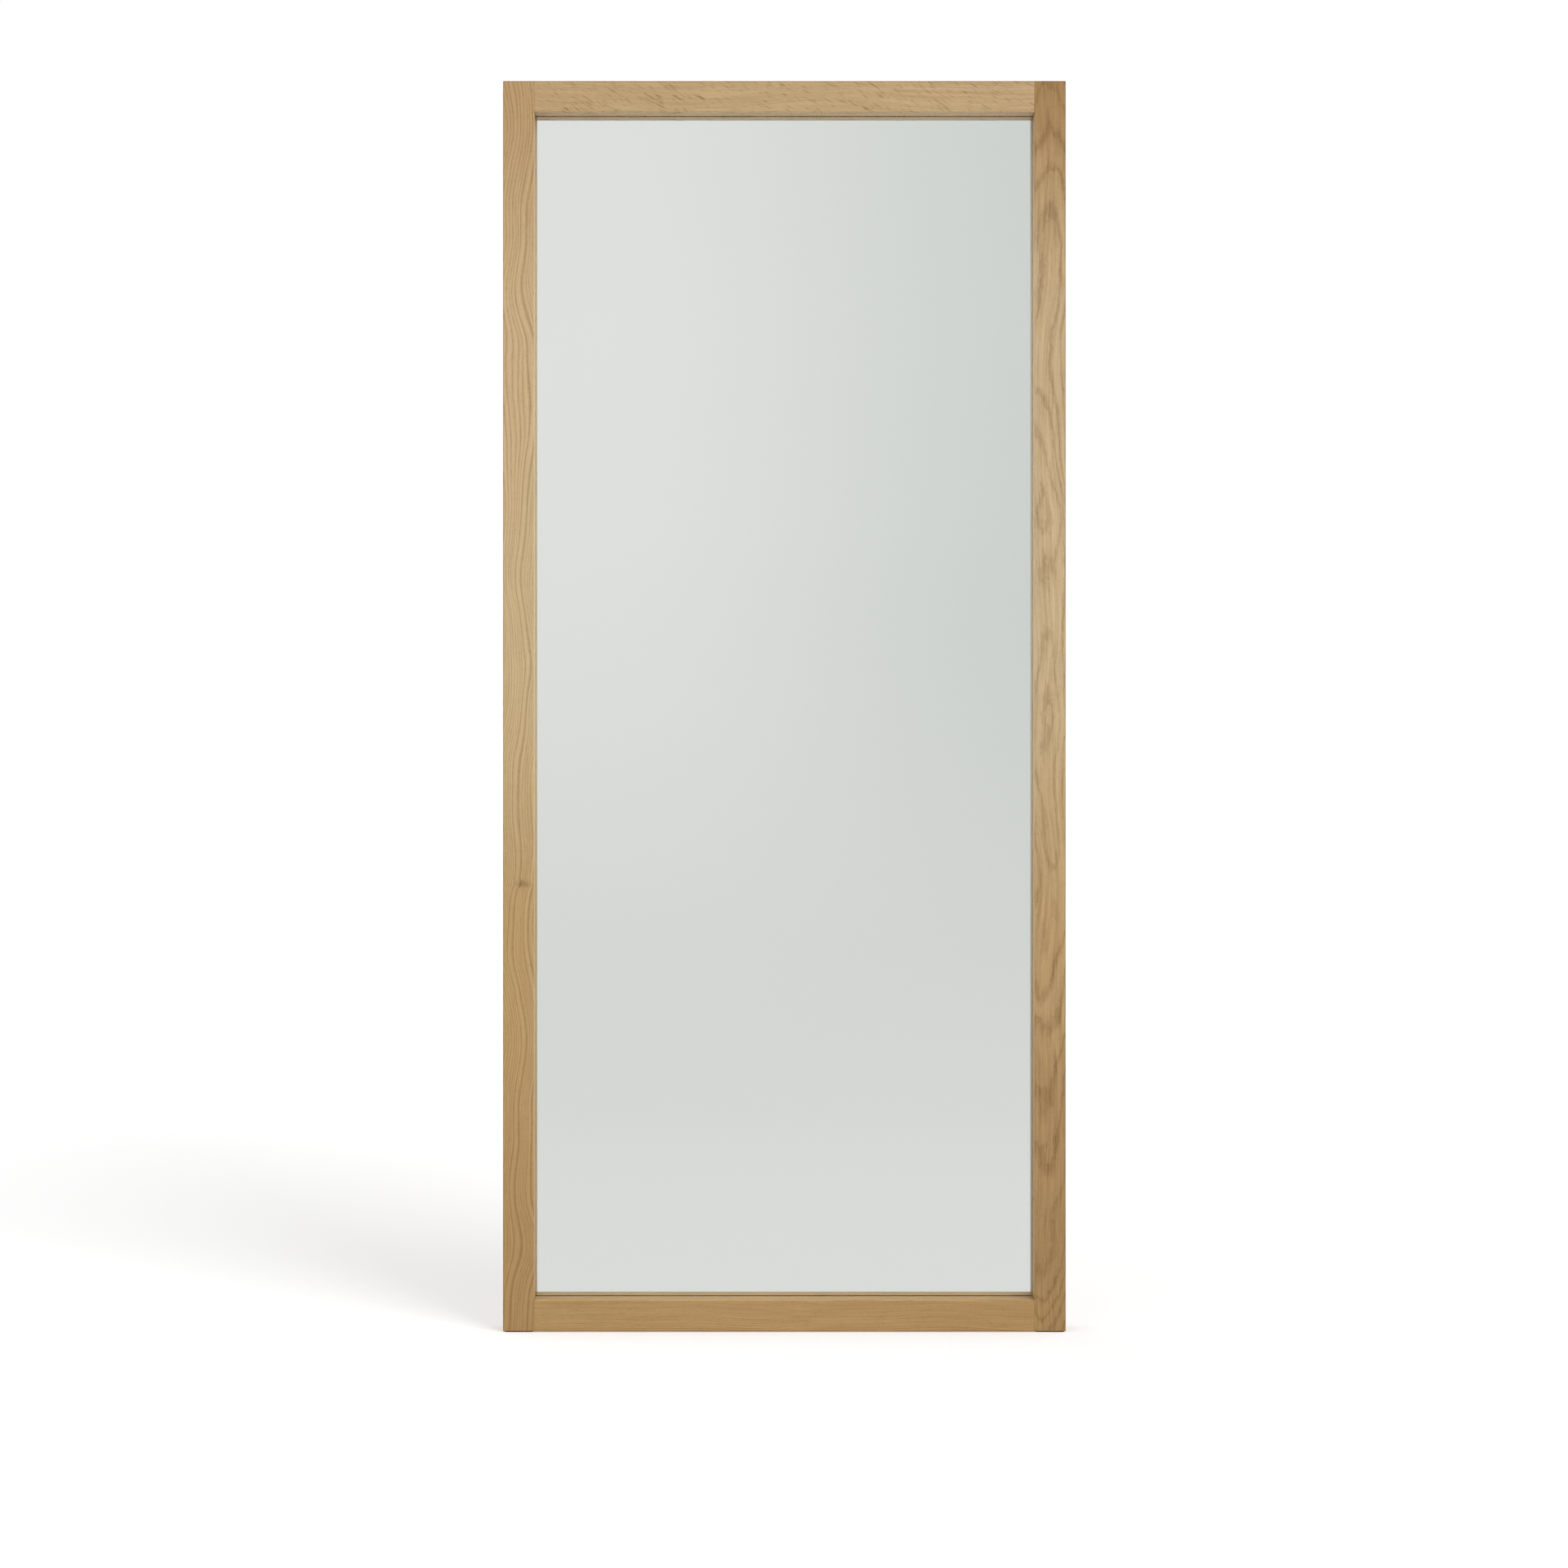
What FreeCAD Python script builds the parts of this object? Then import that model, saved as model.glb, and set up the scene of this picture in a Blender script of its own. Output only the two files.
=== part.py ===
"""Leaning floor mirror: a tenoned oak frame, 900 x 2000 x 40 mm, with a mirror in its rebate.

Frame of the model, in mm: X runs along the width, the mirror faces -Y and +Z is up. The origin is on
the floor, midway along the width and midway through the depth over the wall bumpers, so the glass
hangs almost over it. Depths are measured from the front face of the frame towards the back.
"""

import FreeCAD, Part
import Sketcher

import math
import os

V = FreeCAD.Vector
LEFT, RIGHT = -1, 1
SIDES = ((LEFT, "left"), (RIGHT, "right"))
ROUND_OFF = 1e-4  # two coordinates closer than this are the same place

# Every size that can be set by itself, in mm (angles in degrees).
SIZES = {
    # the oak frame
    "frame_width": 900,
    "frame_height": 2000,
    "frame_depth": 40,
    "stile_face": 50,
    "rail_face": 50,
    "outer_easing": 1.2,
    "inner_easing": 1.8,
    "cutter_radius": 6,
    # the corner joints
    "tenon_width": 28,
    "tenon_thickness": 10,
    "tenon_length": 60,
    "tenon_setback": 12,
    "tenon_fit": 0.05,
    "tenon_end_gap": 1,
    # the mirror and what holds it
    "recess_depth": 22,
    "glass_thickness": 4,
    "glass_lap": 8,
    "glass_gap": 2,
    "glass_arris": 0.5,
    "silver_thickness": 0.4,
    "spacer_length": 60,
    "block_length": 90,
    "spacer_inset": 220,
    "tape_thickness": 1,
    "tape_width": 20,
    "tape_end_inset": 90,
    "tape_edge_inset": 60,
    # the board that closes the back
    "board_thickness": 5,
    "board_lap": 12,
    "board_gap": 1,
    "screw_shank": 3.5,
    "screw_head": 7,
    "screw_head_height": 2.2,
    "screw_length": 16,
    "screw_clearance": 0.4,
    "pilot_fit": 0.05,
    "pilot_end_gap": 1,
    "screw_inset": 5.5,
    "upright_screw_inset": 100,
    "cross_screw_inset": 180,
    "screw_spacing": 450,
    # the hangers
    "hanger_drop": 250,
    "strap_width": 13,
    "strap_thickness": 1.2,
    "strap_length": 47,
    "strap_corner": 5,
    "curl_gap": 0.5,
    "ring_wire": 3.2,
    "ring_fit": 0.08,
    "ring_clearance": 0.3,
    "ring_half_width": 10.5,
    "ring_corner": 3.5,
    "ring_straight": 4.5,
    "hanger_shank": 3.6,
    "hanger_head": 6.8,
    "hanger_head_height": 2,
    "hanger_screw_length": 20,
    "hanger_screw_first": 26,
    "hanger_screw_pitch": 14,
    # floor pads and wall bumpers
    "pad_proud": 1.5,
    "pad_inset": 2,
    "pad_corner": 3,
    "bumper_diameter": 20,
    "bumper_height": 8,
    "bumper_easing": 2,
    "bumper_recess": 9,
    "bumper_web": 3,
    "bumper_drop": 26,
}
TAPE_STRIPS = 4


class Size:
    """A length that carries both its value and the sheet expression it is worked out from."""

    def __init__(self, value, formula):
        self.value = value
        self.formula = formula

    @staticmethod
    def of(number):
        """The number itself if it is a Size, or a constant Size."""
        return number if isinstance(number, Size) else Size(number, str(number))

    def join(self, sign, other, value):
        """The Size of two formulas with a sign between them."""
        return Size(value, f"({self.formula} {sign} {other.formula})")

    def __add__(self, other):
        other = Size.of(other)
        return self.join("+", other, self.value + other.value)

    def __sub__(self, other):
        other = Size.of(other)
        return self.join("-", other, self.value - other.value)

    def __mul__(self, other):
        other = Size.of(other)
        return self.join("*", other, self.value * other.value)

    def __truediv__(self, other):
        other = Size.of(other)
        return self.join("/", other, self.value / other.value)

    def __neg__(self):
        return Size(0, "0") - self


class Sizes:
    """The sheet's sizes, each an attribute: size.frame_width."""

    def __init__(self, sheet, values):
        for row, (name, number) in enumerate(values.items(), start=1):
            sheet.set(f"A{row}", name)
            sheet.set(f"B{row}", str(number))
            sheet.setAlias(f"B{row}", name)
            setattr(self, name, Size(number, f"{sheet.Name}.{name}"))


doc = FreeCAD.newDocument("floor_mirror")
sheet = doc.addObject("Spreadsheet::Sheet", "sizes")
size = Sizes(sheet, SIZES)
doc.recompute()

# ------------------------------------------------------------------ places worked out from the sizes
half_width = size.frame_width / 2
opening_half = half_width - size.stile_face
frame_bottom = size.pad_proud
frame_top = frame_bottom + size.frame_height
opening_bottom = frame_bottom + size.rail_face
opening_top = frame_top - size.rail_face
opening_height = opening_top - opening_bottom

front = -(size.frame_depth + size.bumper_height) / 2
back = front + size.frame_depth

glass_rebate = size.glass_lap + size.glass_gap
board_rebate = glass_rebate + size.board_lap
glass_depth = size.recess_depth
silver_depth = glass_depth + size.glass_thickness
tape_depth = silver_depth + size.silver_thickness
board_depth = tape_depth + size.tape_thickness
board_back_depth = board_depth + size.board_thickness
board_overlap = board_rebate - size.board_gap  # how far the board runs in behind the opening's edge

back_strip = size.stile_face - board_rebate  # the flat back of a stile, beside the board
back_strip_middle = half_width - back_strip / 2
ring_radius = size.ring_wire / 2
pivot_height = frame_top - size.hanger_drop
pivot_stand_off = size.strap_thickness + size.ring_clearance + ring_radius
curl_inner = ring_radius + size.ring_fit
curl_outer = curl_inner + size.strap_thickness


# ------------------------------------------------------------------ building steps
def bind(thing, prop, length):
    """Ties a property to the sheet."""
    thing.setExpression(prop, Size.of(length).formula)


def new_body(name):
    """An empty sub-part; its label names its file."""
    body = doc.addObject("PartDesign::Body", name)
    body.Label = name
    body.AllowCompound = True
    return body


def sketch_on(body, plane, offset):
    """A sketch parallel to one of the body's own planes, moved along that plane's normal."""
    sketch = body.newObject("Sketcher::SketchObject", f"{body.Name}_outline")
    support = next(f for f in body.Origin.OriginFeatures if f.Role == plane)
    sketch.AttachmentSupport = [(support, "")]
    sketch.MapMode = "FlatFace"
    bind(sketch, "AttachmentOffset.Base.z", offset)
    return sketch


def elevation(body, depth):
    """A sketch in X and Z that faces the front, at a depth behind the front face."""
    return sketch_on(body, "XZ_Plane", -(front + depth))


def cross_section(body, x):
    """A sketch in Y and Z that faces +X."""
    return sketch_on(body, "YZ_Plane", x)


def plan(body, z):
    """A sketch in X and Y that faces up."""
    return sketch_on(body, "XY_Plane", z)


def hold(sketch, kind, geometry, point, length, start=(-1, 1)):
    """Fixes a point's distance from the origin, or from start, to a size."""
    length = Size.of(length)
    index = sketch.addConstraint(Sketcher.Constraint(kind, *start, geometry, point, length.value))
    bind(sketch, f"Constraints[{index}]", length)


def hold_radius(sketch, geometry, length):
    """Fixes a circle's or an arc's radius to a size."""
    index = sketch.addConstraint(Sketcher.Constraint("Radius", geometry, length.value))
    bind(sketch, f"Constraints[{index}]", length)


def rectangle(sketch, left, bottom, width, height):
    """A rectangle from its lower left corner."""
    left, bottom = Size.of(left), Size.of(bottom)
    x0, y0 = left.value, bottom.value
    x1, y1 = x0 + width.value, y0 + height.value
    corners = [V(x0, y0, 0), V(x1, y0, 0), V(x1, y1, 0), V(x0, y1, 0)]
    first = sketch.GeometryCount
    for start, end in zip(corners, corners[1:] + corners[:1]):
        sketch.addGeometry(Part.LineSegment(start, end))
    for n in range(4):
        after = first + (n + 1) % 4
        sketch.addConstraint(Sketcher.Constraint("Coincident", first + n, 2, after, 1))
        sketch.addConstraint(Sketcher.Constraint(("Horizontal", "Vertical")[n % 2], first + n))
    hold(sketch, "DistanceX", first, 1, left)
    hold(sketch, "DistanceY", first, 1, bottom)
    hold(sketch, "DistanceX", first, 2, width, start=(first, 1))
    hold(sketch, "DistanceY", first + 1, 2, height, start=(first + 1, 1))


def circle(sketch, x, y, radius):
    """A circle about a point."""
    x, y = Size.of(x), Size.of(y)
    index = sketch.addGeometry(Part.Circle(V(x.value, y.value, 0), V(0, 0, 1), radius.value))
    hold(sketch, "DistanceX", index, 3, x)
    hold(sketch, "DistanceY", index, 3, y)
    hold_radius(sketch, index, radius)


def arc(sketch, x, y, radius, start, end):
    """An arc about a point, from one angle to another in degrees, with its radius held."""
    centre = V(Size.of(x).value, Size.of(y).value, 0)
    whole = Part.Circle(centre, V(0, 0, 1), radius.value)
    index = sketch.addGeometry(Part.ArcOfCircle(whole, math.radians(start), math.radians(end)))
    hold_radius(sketch, index, radius)
    return index


def extrude(body, kind, sketch, length, reverse=False, both_ways=False):
    """A pad or a pocket of a sketch."""
    feature = body.newObject(f"PartDesign::{kind}", f"{body.Name}_{kind.lower()}")
    feature.Profile = sketch
    bind(feature, "Length", length)
    feature.Reversed = reverse
    feature.SideType = "Symmetric" if both_ways else "One side"
    sketch.Visibility = False
    doc.recompute()
    return feature


def pad(body, sketch, length, **options):
    """Adds the sketch's shape, along the way that the sketch faces."""
    return extrude(body, "Pad", sketch, length, **options)


def pocket(body, sketch, length, **options):
    """Cuts the sketch's shape away, against the way that the sketch faces."""
    return extrude(body, "Pocket", sketch, length, **options)


def near(a, b):
    """Whether two coordinates are the same place."""
    return abs(a - b) < ROUND_OFF


def dress(body, kind, length, wanted):
    """A fillet or a chamfer of every edge of the body so far whose bounding box is wanted."""
    base = body.Tip
    edges = [f"Edge{n}" for n, e in enumerate(base.Shape.Edges, start=1) if wanted(e.BoundBox)]
    if not edges:
        raise ValueError(f"{body.Label}: no edge to {kind.lower()}")
    feature = body.newObject(f"PartDesign::{kind}", f"{body.Name}_{kind.lower()}")
    feature.Base = (base, edges)
    bind(feature, "Radius" if kind == "Fillet" else "Size", length)
    doc.recompute()
    return feature


def side_strip(side, near_x, far_x):
    """The left end and the width of a strip between two distances from the middle, on one side."""
    return (near_x if side == RIGHT else -far_x), far_x - near_x


def is_through(box):
    """Whether an edge runs straight through the depth."""
    return box.YLength > ROUND_OFF and near(box.XLength, 0) and near(box.ZLength, 0)


# ------------------------------------------------------------------ where the fasteners go
def spread(low, high):
    """Evenly spread places from low to high, no further apart than the screws' spacing."""
    gaps = math.ceil((high - low).value / size.screw_spacing.value - ROUND_OFF)
    return [low + (high - low) * n / gaps for n in range(gaps + 1)]


screw_reach = board_overlap - size.screw_inset  # how far the board's screws lie beyond the opening
screw_heights = spread(opening_bottom + size.upright_screw_inset, opening_top - size.upright_screw_inset)
screw_columns = spread(-opening_half + size.cross_screw_inset, opening_half - size.cross_screw_inset)
first_strap_screw = pivot_height - size.hanger_screw_first
strap_screw_heights = (first_strap_screw, first_strap_screw - size.hanger_screw_pitch)
bumper_centre = frame_top - size.bumper_drop
# where heads seat, as a depth behind the frame's front
strap_face_depth = size.frame_depth + size.strap_thickness
bumper_web_depth = size.frame_depth + size.bumper_web


def side_screws(side):
    """Where the board is screwed to a stile: (x, z) pairs."""
    return [((opening_half + screw_reach) * side, z) for z in screw_heights]


def end_screws(height):
    """Where the board is screwed to a rail: (x, z) pairs at one height."""
    return [(x, height) for x in screw_columns]


def strap_screws(side):
    """Where a hanger's strap is screwed to its stile: (x, z) pairs."""
    return [(back_strip_middle * side, z) for z in strap_screw_heights]


def bumper_screw(side):
    """Where a bumper is screwed to its stile: one (x, z) pair."""
    return [(back_strip_middle * side, bumper_centre)]


def board_screw_places():
    """Where screws go through the board into the frame, all round its rim."""
    uprights = side_screws(LEFT) + side_screws(RIGHT)
    return uprights + end_screws(opening_bottom - screw_reach) + end_screws(opening_top + screw_reach)


# ------------------------------------------------------------------ the oak frame
def drill_pilots(body, places, shank, seat_depth, length):
    """Blind holes from the back for screws whose heads seat at a depth."""
    sketch = elevation(body, seat_depth)
    for x, z in places:
        circle(sketch, x, z, shank / 2 + size.pilot_fit)
    pocket(body, sketch, length + size.pilot_end_gap, reverse=True)


def tenon_slot(sketch, rail_bottom, fit):
    """A tenon's section: an upright slot with round ends, larger all round by a fit."""
    y = front + size.tenon_setback
    radius = size.tenon_thickness / 2 + fit
    reach = (size.tenon_width - size.tenon_thickness) / 2  # from the middle to a round end's centre
    middle = rail_bottom + size.rail_face / 2
    low, high = middle - reach, middle + reach
    top = arc(sketch, y, high, radius, 0, 180)
    bottom = arc(sketch, y, low, radius, 180, 360)
    near_y, far_y = (y - radius).value, (y + radius).value
    far_side = sketch.addGeometry(Part.LineSegment(V(far_y, low.value, 0), V(far_y, high.value, 0)))
    near_side = sketch.addGeometry(Part.LineSegment(V(near_y, high.value, 0), V(near_y, low.value, 0)))
    for one, one_end, other, other_end in (
        (bottom, 2, far_side, 1),
        (far_side, 2, top, 1),
        (top, 2, near_side, 1),
        (near_side, 2, bottom, 1),
    ):
        sketch.addConstraint(Sketcher.Constraint("Tangent", one, one_end, other, other_end))
    for geometry, height in ((top, high), (bottom, low)):
        hold(sketch, "DistanceX", geometry, 3, y)
        hold(sketch, "DistanceY", geometry, 3, height)


def cut_mortise(body, x, rail_bottom, reverse):
    """A blind mortise along X for half a tenon, from the shoulder at x."""
    sketch = cross_section(body, x)
    tenon_slot(sketch, rail_bottom, size.tenon_fit)
    pocket(body, sketch, size.tenon_length / 2 + size.tenon_end_gap, reverse=reverse)


def loose_tenon(side, rail_bottom, name):
    """A beech tenon across a shoulder, half in the rail and half in the stile."""
    body = new_body(name)
    sketch = cross_section(body, opening_half * side)
    tenon_slot(sketch, rail_bottom, 0)
    pad(body, sketch, size.tenon_length, both_ways=True)
    return body


def ease_opening_arris(body, side):
    """Rounds a stile's arris at the opening, between the rails only, so the shoulders stay tight."""
    edge = opening_half * side
    face_end = edge + size.inner_easing * side
    wall_end = front + size.inner_easing
    corner = V(edge.value, front.value, 0)
    sketch = plan(body, opening_bottom)
    on_face = sketch.addGeometry(Part.LineSegment(corner, V(face_end.value, front.value, 0)))
    on_wall = sketch.addGeometry(Part.LineSegment(corner, V(edge.value, wall_end.value, 0)))
    start = 180 if side == RIGHT else 270
    rounding = arc(sketch, face_end, wall_end, size.inner_easing, start, start + 90)
    face_point, wall_point = (2, 1) if side == RIGHT else (1, 2)
    sketch.addConstraint(Sketcher.Constraint("Coincident", on_face, 1, on_wall, 1))
    sketch.addConstraint(Sketcher.Constraint("Coincident", on_face, 2, rounding, face_point))
    sketch.addConstraint(Sketcher.Constraint("Coincident", on_wall, 2, rounding, wall_point))
    sketch.addConstraint(Sketcher.Constraint("Horizontal", on_face))
    sketch.addConstraint(Sketcher.Constraint("Vertical", on_wall))
    hold(sketch, "DistanceX", on_face, 1, edge)
    hold(sketch, "DistanceY", on_face, 1, front)
    hold(sketch, "DistanceX", on_face, 2, face_end)
    hold(sketch, "DistanceY", on_wall, 2, wall_end)
    pocket(body, sketch, opening_height, reverse=True)


def stile(side, name):
    """An upright, the frame's full height, with stopped rebates for the glass and the board."""
    body = new_body(name)
    left, width = side_strip(side, opening_half, half_width)
    sketch = elevation(body, 0)
    rectangle(sketch, left, frame_bottom, width, size.frame_height)
    pad(body, sketch, size.frame_depth, reverse=True)

    # hand-eased outer arrises; the edges at the rails' shoulders stay sharp, so the joints close
    outer_x = side * half_width.value
    ends = (frame_bottom.value, frame_top.value)
    faces = (front.value, back.value)

    def is_outer(box):
        on_side = near(box.XMin, outer_x) and near(box.XMax, outer_x)
        on_end = any(near(box.ZMin, z) and near(box.ZMax, z) for z in ends)
        on_face = any(near(box.YMin, y) and near(box.YMax, y) for y in faces)
        return on_side or (on_end and on_face)

    dress(body, "Fillet", size.outer_easing, is_outer)

    # rebates routed from the back and stopped short of the ends, with the cutter's round corners
    for reach, depth in ((glass_rebate, glass_depth), (board_rebate, board_depth)):
        left, width = side_strip(side, opening_half, opening_half + reach)
        sketch = elevation(body, depth)
        rectangle(sketch, left, opening_bottom - reach, width, opening_height + reach * 2)
        pocket(body, sketch, size.frame_depth - depth)
        corner_x = side * (opening_half + reach).value
        dress(
            body,
            "Fillet",
            size.cutter_radius,
            lambda box: is_through(box)
            and near(box.XMin, corner_x)
            and box.YMin > front.value + depth.value - ROUND_OFF,
        )

    ease_opening_arris(body, side)
    for rail_bottom in (frame_bottom, opening_top):
        cut_mortise(body, opening_half * side, rail_bottom, reverse=side == RIGHT)
    drill_pilots(body, side_screws(side), size.screw_shank, board_back_depth, size.screw_length)
    hardware = ((strap_screws(side), strap_face_depth), (bumper_screw(side), bumper_web_depth))
    for places, seat_depth in hardware:
        drill_pilots(body, places, size.hanger_shank, seat_depth, size.hanger_screw_length)
    return body


def rail(name, bottom, opening_is_above):
    """A cross rail between the stiles, with rebates along its whole length."""
    body = new_body(name)
    length = opening_half * 2
    sketch = elevation(body, 0)
    rectangle(sketch, -opening_half, bottom, length, size.rail_face)
    pad(body, sketch, size.frame_depth, reverse=True)

    top = bottom + size.rail_face
    inner_z, outer_z = (top, bottom) if opening_is_above else (bottom, top)

    def runs_along(box, z, depths):
        at_face = any(near(box.YMin, y) and near(box.YMax, y) for y in depths)
        return near(box.ZMin, z.value) and near(box.ZMax, z.value) and at_face

    both_faces = (front.value, back.value)
    dress(body, "Fillet", size.outer_easing, lambda box: runs_along(box, outer_z, both_faces))
    dress(body, "Fillet", size.inner_easing, lambda box: runs_along(box, inner_z, both_faces[:1]))

    for reach, depth in ((glass_rebate, glass_depth), (board_rebate, board_depth)):
        sketch = elevation(body, depth)
        low = inner_z - reach if opening_is_above else inner_z
        rectangle(sketch, -opening_half, low, length, reach)
        pocket(body, sketch, size.frame_depth - depth)

    for side in (LEFT, RIGHT):
        cut_mortise(body, opening_half * side, bottom, reverse=side == LEFT)
    row = end_screws(inner_z - screw_reach if opening_is_above else inner_z + screw_reach)
    drill_pilots(body, row, size.screw_shank, board_back_depth, size.screw_length)
    return body


# ------------------------------------------------------------------ the mirror in its rebate
def sheet_of(name, overlap, gap, depth, thickness):
    """A flat sheet behind the opening, whose corners follow the rebate's round ones."""
    body = new_body(name)
    sketch = elevation(body, depth)
    reach = opening_half + overlap
    rectangle(sketch, -reach, opening_bottom - overlap, reach * 2, opening_height + overlap * 2)
    pad(body, sketch, thickness, reverse=True)
    dress(body, "Fillet", size.cutter_radius - gap, is_through)
    return body


def mirror_glass():
    """The pane, with its edges ground."""
    body = sheet_of("mirror_glass", size.glass_lap, size.glass_gap, glass_depth, size.glass_thickness)
    dress(body, "Chamfer", size.glass_arris, lambda box: near(box.YLength, 0))
    return body


def pads_between(name, strips, depth, thickness):
    """Flat pieces in one plane: each strip is its left, bottom, width and height."""
    body = new_body(name)
    sketch = elevation(body, depth)
    for strip in strips:
        rectangle(sketch, *strip)
    pad(body, sketch, thickness, reverse=True)
    return body


def setting_blocks():
    """Two blocks in the bottom rebate that carry the pane's weight."""
    left = opening_half - size.spacer_inset
    bottom = opening_bottom - glass_rebate
    strips = [
        (left * side - size.block_length / 2, bottom, size.block_length, size.glass_gap)
        for side in (LEFT, RIGHT)
    ]
    return pads_between("setting_blocks", strips, glass_depth, size.glass_thickness)


def edge_spacers():
    """Spacers beside and over the pane that keep it centred in the rebate."""
    strips = []
    for side in (LEFT, RIGHT):
        edge = opening_half + size.glass_lap
        left, width = side_strip(side, edge, edge + size.glass_gap)
        for height in (opening_bottom + size.spacer_inset, opening_top - size.spacer_inset):
            strips.append((left, height - size.spacer_length / 2, width, size.spacer_length))
        middle = (opening_half - size.spacer_inset) * side
        top = opening_top + size.glass_lap
        strips.append((middle - size.spacer_length / 2, top, size.spacer_length, size.glass_gap))
    return pads_between("edge_spacers", strips, glass_depth, size.glass_thickness)


def foam_tapes():
    """Upright strips of foam tape that bond the silvered pane to the board."""
    bottom = opening_bottom + size.tape_end_inset
    height = opening_height - size.tape_end_inset * 2
    first = -opening_half + size.tape_edge_inset
    step = (opening_half * 2 - size.tape_edge_inset * 2 - size.tape_width) / (TAPE_STRIPS - 1)
    strips = [(first + step * n, bottom, size.tape_width, height) for n in range(TAPE_STRIPS)]
    return pads_between("foam_tape_strips", strips, tape_depth, size.tape_thickness)


# ------------------------------------------------------------------ the board and its screws
def backing_board():
    """The board that presses the mirror forward, drilled all round for its screws."""
    body = sheet_of("backing_board", board_overlap, size.board_gap, board_depth, size.board_thickness)
    sketch = elevation(body, board_depth)
    for x, z in board_screw_places():
        circle(sketch, x, z, (size.screw_shank + size.screw_clearance) / 2)
    pocket(body, sketch, size.board_thickness)
    return body


def flat_head_screws(name, places, seat_depth, head, head_height, shank, length):
    """Screws whose heads seat at a depth behind the front, one solid in each place."""
    body = new_body(name)
    sketch = elevation(body, seat_depth)
    for x, z in places:
        circle(sketch, x, z, head / 2)
    pad(body, sketch, head_height, reverse=True)
    sketch = elevation(body, seat_depth)
    for x, z in places:
        circle(sketch, x, z, shank / 2)
    pad(body, sketch, length)
    return body


def board_screws():
    """The screws round the board's rim."""
    return flat_head_screws(
        "board_screws",
        board_screw_places(),
        board_back_depth,
        size.screw_head,
        size.screw_head_height,
        size.screw_shank,
        size.screw_length,
    )


def hanger_screws(name, places, seat_depth):
    """The stouter screws that hold the straps and the bumpers."""
    return flat_head_screws(
        name,
        places,
        seat_depth,
        size.hanger_head,
        size.hanger_head_height,
        size.hanger_shank,
        size.hanger_screw_length,
    )


# ------------------------------------------------------------------ the hangers
def hanger_strap(side, name):
    """A steel strap, screwed to the stile's back, whose top end curls over the ring's bar."""
    body = new_body(name)
    x = back_strip_middle * side
    sketch = cross_section(body, x)
    rectangle(sketch, back, pivot_height - size.strap_length, size.strap_thickness, size.strap_length)
    pad(body, sketch, size.strap_width, both_ways=True)
    bottom = (pivot_height - size.strap_length).value
    dress(body, "Fillet", size.strap_corner, lambda box: is_through(box) and near(box.ZMin, bottom))

    sketch = cross_section(body, x)
    circle(sketch, back + pivot_stand_off, pivot_height, curl_outer)
    pad(body, sketch, size.strap_width, both_ways=True)
    sketch = cross_section(body, x)
    circle(sketch, back + pivot_stand_off, pivot_height, curl_inner)
    pocket(body, sketch, size.strap_width, both_ways=True)
    # the slit where the curl's end comes back to the strap
    sketch = cross_section(body, x)
    rectangle(sketch, back + size.strap_thickness, pivot_height - curl_outer, size.curl_gap, curl_outer)
    pocket(body, sketch, size.strap_width, both_ways=True)

    sketch = elevation(body, size.frame_depth)
    for height in strap_screw_heights:
        circle(sketch, x, height, (size.hanger_shank + size.screw_clearance) / 2)
    pocket(body, sketch, size.strap_thickness)
    return body


def hanger_ring(side, name):
    """A D-shaped wire ring that hangs from the strap's curl and swings about its straight bar."""
    body = new_body(name)
    x = back_strip_middle * side
    half = size.ring_half_width
    corner = size.ring_corner
    shoulder = pivot_height - corner
    waist = shoulder - size.ring_straight
    y = back + pivot_stand_off

    path = sketch_on(body, "XZ_Plane", -y)

    def line(x0, z0, x1, z1):
        return path.addGeometry(Part.LineSegment(V(x0.value, z0.value, 0), V(x1.value, z1.value, 0)))

    pieces = [
        (line(x, pivot_height, x + half - corner, pivot_height), False),
        (arc(path, x + half - corner, shoulder, corner, 0, 90), True),
        (line(x + half, shoulder, x + half, waist), False),
        (arc(path, x, waist, half, 180, 360), True),
        (line(x - half, waist, x - half, shoulder), False),
        (arc(path, x - half + corner, shoulder, corner, 90, 180), True),
        (line(x - half + corner, pivot_height, x, pivot_height), False),
    ]
    for (one, one_is_arc), (two, two_is_arc) in zip(pieces, pieces[1:]):
        # arcs run the other way round, so the path enters an arc at its end
        leaves, enters = (1 if one_is_arc else 2), (2 if two_is_arc else 1)
        path.addConstraint(Sketcher.Constraint("Tangent", one, leaves, two, enters))
    path.addConstraint(Sketcher.Constraint("Coincident", pieces[0][0], 1, pieces[-1][0], 2))
    path.addConstraint(Sketcher.Constraint("Horizontal", pieces[0][0]))
    path.addConstraint(Sketcher.Constraint("Vertical", pieces[2][0]))
    hold(path, "DistanceX", pieces[0][0], 1, x)
    hold(path, "DistanceY", pieces[0][0], 1, pivot_height)
    hold(path, "DistanceX", pieces[3][0], 3, x)
    hold(path, "DistanceY", pieces[3][0], 3, waist)

    wire = cross_section(body, x)
    circle(wire, y, pivot_height, ring_radius)
    sweep = body.newObject("PartDesign::AdditivePipe", f"{name}_sweep")
    sweep.Profile = wire
    sweep.Spine = (path, [f"Edge{n}" for n in range(1, len(pieces) + 1)])
    doc.recompute()
    return body


# ------------------------------------------------------------------ pads and bumpers
def floor_pad(side, name):
    """A felt pad under the end of a stile; the frame stands on the two of them."""
    body = new_body(name)
    sketch = plan(body, 0)
    inset = size.pad_inset
    left, width = side_strip(side, opening_half + inset, half_width - inset)
    rectangle(sketch, left, front + inset, width, size.frame_depth - inset * 2)
    pad(body, sketch, size.pad_proud)
    dress(body, "Fillet", size.pad_corner, lambda box: near(box.ZLength, size.pad_proud.value))
    return body


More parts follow.
